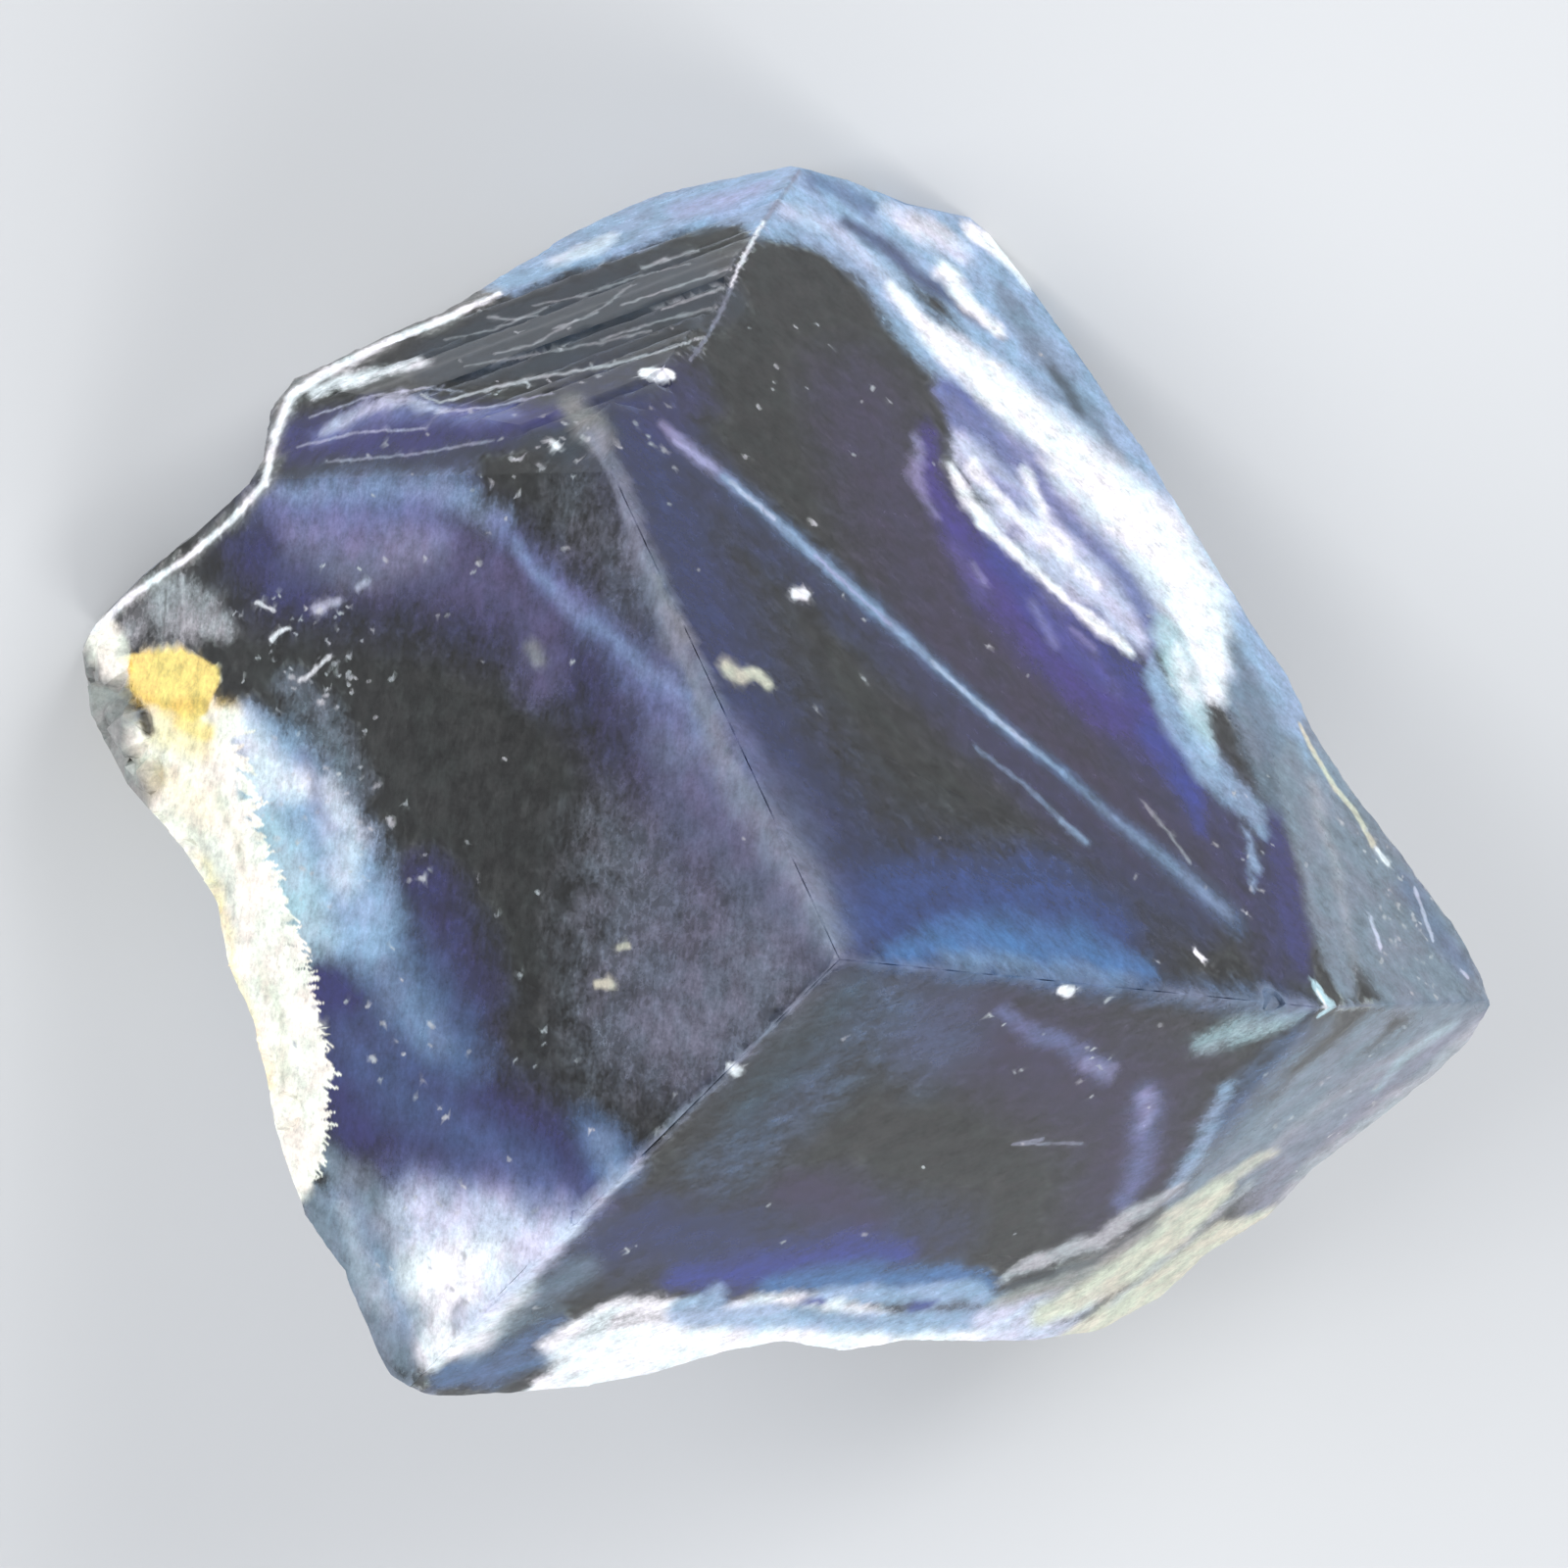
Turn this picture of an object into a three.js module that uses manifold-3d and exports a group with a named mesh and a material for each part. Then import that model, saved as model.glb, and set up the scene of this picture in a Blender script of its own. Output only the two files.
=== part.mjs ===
// A broken cube corner of clear fluorite, resting on a flat octahedral cleavage.
// Millimetres, +Z up. The crystal is laid out on its own three cube edges, a, b and c, which
// run back from the front corner at (0, 0, 0). It is then stood up with that corner on top.
import * as THREE from 'three';
import { mergeVertices } from 'three/addons/utils/BufferGeometryUtils.js';
import Module from 'manifold-3d';

// Planes of the crystal in a, b, c. Each keeps the side where normal . point <= reach.
const CUBE_FACES = [
	{ normal: [ 0, - 1, 0 ], reach: 0 }, // left
	{ normal: [ - 1, 0, 0 ], reach: 0 }, // lower
	{ normal: [ 0, 0, - 1 ], reach: 0 }, // upper right
];
const BASE = { normal: [ 1, 1, 1 ], reach: 62.0 };
const BACK_PLANES = [
	{ normal: [ 1, 0.12, 0 ], reach: 40.6 }, // behind the top
	{ normal: [ 1, - 0.2, 0.1 ], reach: 36.7 }, // behind the upper left
	{ normal: [ 0.2, 1, 0.03 ], reach: 35.3 }, // behind the right side
	{ normal: [ 0.05, 1, 0.12 ], reach: 35.4 }, // behind the right tip
	{ normal: [ 0.79, 1, 0 ], reach: 54.5 }, // behind the upper right shoulder
	{ normal: [ - 0.04, 0.05, 1 ], reach: 24.6 }, // behind the lower left side
	{ normal: [ 0, 0.3, 1 ], reach: 29.4 }, // behind the lower right side
];

// The cleavage at the upper left, and the narrow face between it and the left cube face.
const CLEAVAGE = { normal: [ 1, - 1, - 1 ], reach: 19.3 };
const CLEAVAGE_FOOT = { normal: [ 1, - 2.2, - 0.84 ], reach: 18.6 };
const CORNER_LEDGE_DEPTH = 0.9; // how far the ledge at its low corner stands above it
const CORNER_LEDGE_END = 18.9; // distance up the slope, from the front corner
const STEP_COUNT = 13;
const STEP_WIDTH = 1.35;
const STEP_RISER = 0.12;
const STEP_DEPTH = 0.3;

// Two shallow bevels meet in a ridge that runs out to the right tip.
const TIP_START = 21.6; // where the ridge starts, along the edge b
const TIP_BEVELS = [
	{ slide: [ 0.426, 0 ], tilt: [ 0, 0.08 ] }, // on the upper right face
	{ slide: [ 0, 0.25 ], tilt: [ 0.165, 0 ] }, // on the lower face
];

// The broken outline, across and up from the front corner, as it is seen from the eye point.
const EYE = { across: - 1.6, up: 5.0, away: 126 };
const SIGHT_LEAN = - 7.94; // degrees that the sight line leans from the vertical, sideways
const SIGHT_NOD = - 2.5; // and back
const OUTLINE = [
	[ - 1.4, 22.7 ], [ 0.2, 22.3 ], [ 1.9, 21.6 ], [ 3.7, 21.2 ], [ 4.4, 20.6 ], [ 5.3, 19.4 ],
	[ 7.0, 17.0 ], [ 8.8, 14.4 ], [ 9.6, 13.1 ], [ 11.9, 9.4 ], [ 12.8, 8.1 ], [ 13.5, 6.6 ],
	[ 14.5, 5.0 ], [ 15.9, 3.2 ], [ 17.6, 0.9 ], [ 18.3, - 0.4 ], [ 18.6, - 1.3 ], [ 18.0, - 2.3 ],
	[ 17.0, - 3.3 ], [ 15.2, - 4.7 ], [ 13.5, - 6.0 ], [ 12.2, - 7.4 ], [ 10.5, - 8.4 ],
	[ 9.1, - 9.7 ], [ 7.4, - 10.6 ], [ 5.5, - 10.9 ], [ 1.8, - 10.9 ], [ 0.1, - 11.2 ],
	[ - 1.6, - 10.9 ], [ - 3.3, - 11.2 ], [ - 5.2, - 11.8 ], [ - 7.2, - 12.2 ], [ - 9.4, - 12.4 ],
	[ - 11.7, - 12.5 ], [ - 12.9, - 11.9 ], [ - 13.3, - 11.0 ], [ - 14.2, - 8.9 ],
	[ - 15.3, - 7.3 ], [ - 16.0, - 5.4 ], [ - 16.8, - 1.7 ], [ - 17.5, - 0.2 ], [ - 17.8, 1.6 ],
	[ - 18.8, 3.2 ], [ - 20.4, 5.0 ], [ - 21.4, 7.0 ], [ - 21.7, 8.8 ], [ - 21.3, 9.6 ],
	[ - 19.9, 11.0 ], [ - 18.2, 12.4 ], [ - 16.9, 13.6 ], [ - 16.5, 14.3 ], [ - 16.3, 15.7 ],
	[ - 15.6, 16.6 ], [ - 13.1, 17.8 ], [ - 11.4, 18.5 ], [ - 9.9, 19.4 ], [ - 8.4, 20.4 ],
	[ - 6.8, 21.2 ], [ - 5.2, 21.9 ], [ - 3.4, 22.3 ],
];

// Faceted breaks under the rim: middle in a, b, c, and the radius of each hollow.
const BREAKS = [
	{ middle: [ 6.0, 23.0, 37.4 ], radius: 16.0 }, // under the lower side
	{ middle: [ 3.0, 10.5, 33.6 ], radius: 11.0 },
	{ middle: [ 14.0, 12.5, 37.0 ], radius: 13.6 },
	{ middle: [ 9.0, 1.5, 36.6 ], radius: 12.6 }, // under the left side
	{ middle: [ 19.0, 3.5, 38.4 ], radius: 14.6 },
	{ middle: [ 30.0, 7.5, 37.4 ], radius: 13.0 },
	{ middle: [ 40.0, 7.0, 27.5 ], radius: 8.4 },
	{ middle: [ 43.0, 2.0, 21.0 ], radius: 9.0 }, // behind the upper left
	{ middle: [ 46.5, 12.0, 13.5 ], radius: 11.2 },
	{ middle: [ 49.0, 19.0, 6.0 ], radius: 11.4 }, // behind the top
	{ middle: [ 34.0, 40.0, 7.0 ], radius: 13.2 }, // behind the right side
	{ middle: [ 21.0, 44.0, 8.0 ], radius: 13.8 },
	{ middle: [ 11.0, 45.0, 14.0 ], radius: 13.4 },
	{ middle: [ 5.0, 44.5, 21.0 ], radius: 12.6 },
];
const CHIPS = [
	{ middle: [ 0.1, 19.4, - 0.1 ], radius: 0.55 }, // where the ridge starts
	{ middle: [ 23.6, 4.3, - 0.2 ], radius: 0.6 }, // at the low end of the cleavage's edge
	{ middle: [ 0.1, - 0.2, 13.4 ], radius: 0.35 }, // on the lower left edge
];

// Pale grains grown on the left rim, in a, b, c along the rim.
const GRAIN_RUN = { start: [ 31.0, 0.5, 24.2 ], end: [ 11.0, 0.4, 23.6 ] };
const GRAIN_COUNT = 22;
const GRAIN_SIZE = 0.95;

const BLOCK_SIZE = 160;
const BREAK_DETAIL = 1;

const wasm = await Module();
wasm.setup();

const bare = ( geometry ) => {

	geometry.deleteAttribute( 'normal' );
	geometry.deleteAttribute( 'uv' );
	return mergeVertices( geometry, 1e-5 );

};

// A closed mesh as a solid that can be joined and cut.
const solid = ( geometry ) => {

	const merged = bare( geometry );
	const vertProperties = new Float32Array( merged.attributes.position.array );
	const triVerts = new Uint32Array( merged.index.array );
	return new wasm.Manifold( new wasm.Mesh( { numProp: 3, vertProperties, triVerts } ) );

};

// Everything on the outer side of a plane, within reach of the crystal.
const outside = ( { normal, reach } ) => {

	const direction = new THREE.Vector3( ...normal );
	const distance = reach / direction.length();
	direction.normalize();
	const turn = new THREE.Quaternion().setFromUnitVectors( new THREE.Vector3( 0, 0, 1 ), direction );
	const block = new THREE.BoxGeometry( BLOCK_SIZE, BLOCK_SIZE, BLOCK_SIZE );
	block.applyQuaternion( turn );
	const middle = direction.multiplyScalar( distance + BLOCK_SIZE / 2 );
	block.translate( middle.x, middle.y, middle.z );
	return solid( block );

};

const bevelPlane = ( { slide, tilt } ) => {

	const slope = Math.max( ...tilt );
	const along = [ - slope * slide[ 0 ], slope, - slope * slide[ 1 ] ];
	const face = tilt[ 0 ] > 0 ? [ - 1, 0, 0 ] : [ 0, 0, - 1 ];
	const normal = along.map( ( value, axis ) => value + face[ axis ] );
	return { normal, reach: slope * TIP_START };

};

// The stepped cut of the cleavage. Its steps run across the slope, along b - c.
const cleavageCut = () => {

	const out = new THREE.Vector3( ...CLEAVAGE.normal ).normalize();
	const across = new THREE.Vector3( 0, 1, - 1 ).normalize();
	const upSlope = new THREE.Vector3().crossVectors( out, across );
	const level = CLEAVAGE.reach / Math.sqrt( 3 );
	const profile = new THREE.Shape();
	profile.moveTo( - BLOCK_SIZE, level + CORNER_LEDGE_DEPTH );
	profile.lineTo( CORNER_LEDGE_END - 0.6, level + CORNER_LEDGE_DEPTH );
	for ( let step = 0; step < STEP_COUNT; step ++ ) {

		const start = CORNER_LEDGE_END + STEP_WIDTH * ( step + 0.3 * Math.sin( 2.4 * step ) );
		const drop = STEP_DEPTH * ( 0.5 + 0.5 * Math.sin( 5.1 * step + 1 ) );
		profile.lineTo( start, level - 0.25 * drop );
		profile.lineTo( start + STEP_RISER, level - drop );

	}

	profile.lineTo( BLOCK_SIZE, level - STEP_DEPTH );
	profile.lineTo( BLOCK_SIZE, BLOCK_SIZE );
	profile.lineTo( - BLOCK_SIZE, BLOCK_SIZE );
	profile.closePath();
	const cut = new THREE.ExtrudeGeometry( profile, { depth: BLOCK_SIZE, bevelEnabled: false } );
	cut.translate( 0, 0, - BLOCK_SIZE / 2 );
	cut.applyMatrix4( new THREE.Matrix4().makeBasis( upSlope, out, across ) );
	return solid( cut );

};

const ball = ( { middle, radius } ) => {

	const shape = new THREE.IcosahedronGeometry( radius, BREAK_DETAIL );
	shape.rotateX( radius );
	shape.rotateZ( 2 * radius );
	shape.translate( ...middle );
	return solid( shape );

};

// Rough grains in a row along the left rim, each turned and sized by its place.
const grains = () => {

	const start = new THREE.Vector3( ...GRAIN_RUN.start );
	const end = new THREE.Vector3( ...GRAIN_RUN.end );
	const pieces = [];
	for ( let index = 0; index < GRAIN_COUNT; index ++ ) {

		const share = index / ( GRAIN_COUNT - 1 );
		const size = GRAIN_SIZE * ( 1.35 - 0.7 * share + 0.3 * Math.sin( 7 * index ) );
		const grain = new THREE.IcosahedronGeometry( size, 0 );
		grain.rotateX( 1.7 * index );
		grain.rotateY( 2.3 * index );
		const place = start.clone().lerp( end, share );
		const wander = 0.7 * ( 1 - 0.6 * share );
		place.z += wander * Math.sin( 4.1 * index );
		place.y += 0.3 * Math.sin( 2.9 * index );
		grain.translate( place.x, place.y, place.z );
		pieces.push( solid( grain ) );

	}

	return pieces.reduce( ( whole, piece ) => whole.add( piece ) );

};

// The crystal's three edges fall away evenly from the front corner, a third of a turn apart.
const FIRST_EDGE_HEADING = 110.96; // degrees
const edgeDirection = ( number ) => {

	const heading = THREE.MathUtils.degToRad( FIRST_EDGE_HEADING - 120 * number );
	const fall = - 1 / Math.sqrt( 3 );
	const run = Math.sqrt( 2 / 3 );
	return new THREE.Vector3( run * Math.cos( heading ), run * Math.sin( heading ), fall );

};

const standing = new THREE.Matrix4().makeBasis( ...[ 0, 1, 2 ].map( edgeDirection ) );

// The cone of sight lines through the outline, in the standing frame.
const outlineCone = () => {

	const outline = new THREE.Shape( OUTLINE.map( ( [ x, y ] ) => new THREE.Vector2( x, y ) ) );
	const near = 30;
	const far = 80;
	const cone = new THREE.ExtrudeGeometry( outline, { depth: near + far, bevelEnabled: false } );
	const points = cone.attributes.position;
	for ( let index = 0; index < points.count; index ++ ) {

		const depth = far - points.getZ( index );
		const growth = ( EYE.away + depth ) / EYE.away;
		const x = EYE.across + ( points.getX( index ) - EYE.across ) * growth;
		const y = EYE.up + ( points.getY( index ) - EYE.up ) * growth;
		points.setXYZ( index, x, y, - depth );

	}

	cone.rotateX( THREE.MathUtils.degToRad( SIGHT_NOD ) );
	cone.rotateY( THREE.MathUtils.degToRad( SIGHT_LEAN ) );
	return solid( cone );

};

const fluoriteBody = () => {

	let body = solid( new THREE.BoxGeometry( BLOCK_SIZE, BLOCK_SIZE, BLOCK_SIZE ) );
	const planes = [ ...CUBE_FACES, CLEAVAGE_FOOT, ...BACK_PLANES, ...TIP_BEVELS.map( bevelPlane ) ];
	for ( const plane of planes ) {

		body = body.subtract( outside( plane ) );

	}

	body = body.subtract( cleavageCut() );
	for ( const hollow of [ ...BREAKS, ...CHIPS ] ) {

		body = body.subtract( ball( hollow ) );

	}

	body = body.add( grains() ).subtract( outside( BASE ) );
	return body.transform( standing.elements ).intersect( outlineCone() );

};

// A solid back as a flat-shaded geometry, with its base at z = 0 and centred over the origin.
const settled = ( body ) => {

	const { numProp, vertProperties, triVerts } = body.getMesh();
	const geometry = new THREE.BufferGeometry();
	const positions = new Float32Array( vertProperties.length / numProp * 3 );
	for ( let index = 0; index < positions.length / 3; index ++ ) {

		positions.set( vertProperties.subarray( index * numProp, index * numProp + 3 ), index * 3 );

	}

	geometry.setAttribute( 'position', new THREE.BufferAttribute( positions, 3 ) );
	geometry.setIndex( new THREE.BufferAttribute( new Uint32Array( triVerts ), 1 ) );
	geometry.computeBoundingBox();
	const { min, max } = geometry.boundingBox;
	geometry.translate( - ( min.x + max.x ) / 2, - ( min.y + max.y ) / 2, - min.z );
	geometry.computeVertexNormals();
	return geometry;

};

const fluorite = new THREE.Mesh(
	settled( fluoriteBody() ),
	new THREE.MeshStandardMaterial( { color: 0x3b3f6e, roughness: 0.12, metalness: 0 } ),
);
fluorite.name = 'fluorite_crystal';

const specimen = new THREE.Group();
specimen.add( fluorite );

export default specimen;
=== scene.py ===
import math
import random

import bmesh
import bpy
import numpy as np
from mathutils import Matrix, Vector, geometry, noise


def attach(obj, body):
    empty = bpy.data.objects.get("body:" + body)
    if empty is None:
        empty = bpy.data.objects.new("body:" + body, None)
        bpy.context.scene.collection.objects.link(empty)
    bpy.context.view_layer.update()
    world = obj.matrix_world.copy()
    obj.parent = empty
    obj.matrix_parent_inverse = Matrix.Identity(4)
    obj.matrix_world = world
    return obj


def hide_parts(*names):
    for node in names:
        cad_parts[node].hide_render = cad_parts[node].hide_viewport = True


MM = 0.001
# Without a seed, vector noise takes one from the clock
noise.seed_set(1)

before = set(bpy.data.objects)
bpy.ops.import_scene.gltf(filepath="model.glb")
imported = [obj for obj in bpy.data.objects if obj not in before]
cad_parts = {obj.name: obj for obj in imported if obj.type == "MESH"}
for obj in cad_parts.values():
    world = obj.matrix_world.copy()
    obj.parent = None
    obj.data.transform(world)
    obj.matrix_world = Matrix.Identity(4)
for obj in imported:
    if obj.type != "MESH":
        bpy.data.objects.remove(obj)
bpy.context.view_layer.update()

# Sight line: its leans, the eye from the front corner, and a picture point's size there
SIGHT_LEAN = math.radians(-7.94)
SIGHT_NOD = math.radians(-2.5)
EYE_ACROSS, EYE_UP, EYE_AWAY = -1.607 * MM, 5.023 * MM, 126.0 * MM
FRAME_PIXELS = 1600
PIXEL_SIZE = 0.028 * MM

# The three cube edges fall away from the front corner, a third of a turn apart
FIRST_EDGE_HEADING = math.radians(110.96)
THIRD_TURN = math.radians(120)


def cube_edge(number):
    heading = FIRST_EDGE_HEADING - THIRD_TURN * number
    run = math.sqrt(2 / 3)
    return Vector((run * math.cos(heading), run * math.sin(heading), -1 / math.sqrt(3)))


EDGES = [cube_edge(number) for number in range(3)]
TO_EDGES = np.array([list(edge) for edge in EDGES])


def front_corner(node):
    return max((vertex.co for vertex in node.data.vertices), key=lambda point: point.z).copy()


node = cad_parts["fluorite_crystal"]
CORNER = front_corner(node)

# Faces that the crystal turns up, by normal in the cube's axes
CUBE_FACES = [(-1, 0, 0), (0, -1, 0), (0, 0, -1)]
CLEAVED_FACES = [(1, -1, -1), (1, -2.2, -0.84)]
BASE_FACE = (1, 1, 1)


def unit(direction):
    direction = np.array(direction, float)
    return direction / np.linalg.norm(direction)


FRONT_NORMALS = np.array([unit(face) for face in CUBE_FACES + CLEAVED_FACES])

# Colours in the stone, seen as soft veils over dark clear crystal, with painted shade and painted glow
# among them
TINTS = {
    "navy": (0.015, 0.025, 0.10),
    # The next tint is painted shade: the near black that clear crystal shows where it looks into shadow
    "painted_shade": (0.02, 0.03, 0.045),
    "blue": (0.02, 0.06, 0.24),
    "royal": (0.02, 0.035, 0.23),
    "azure": (0.05, 0.16, 0.38),
    "indigo": (0.025, 0.025, 0.13),
    "plum": (0.03, 0.02, 0.065),
    "violet": (0.038, 0.022, 0.19),
    "mauve": (0.09, 0.08, 0.175),
    "iris": (0.14, 0.165, 0.36),
    "lilac": (0.38, 0.36, 0.60),
    "steel": (0.07, 0.13, 0.26),
    "teal": (0.02, 0.05, 0.07),
    "slate": (0.11, 0.16, 0.22),
    "frost": (0.17, 0.22, 0.28),
    "rubble": (0.26, 0.30, 0.38),
    "haze": (0.20, 0.22, 0.29),
    "grey": (0.28, 0.29, 0.28),
    "silver": (0.45, 0.47, 0.50),
    "pearl": (0.62, 0.66, 0.82),
    "ice": (0.27, 0.40, 0.58),
    "cyan": (0.42, 0.60, 0.66),
    "white": (0.93, 0.96, 1.0),
    "cream": (0.62, 0.62, 0.49),
    "crust": (0.96, 0.94, 0.83),
    "yellow": (0.93, 0.70, 0.21),
    "orange": (0.90, 0.55, 0.07),
    "soot": (0.03, 0.03, 0.025),
}
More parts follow.
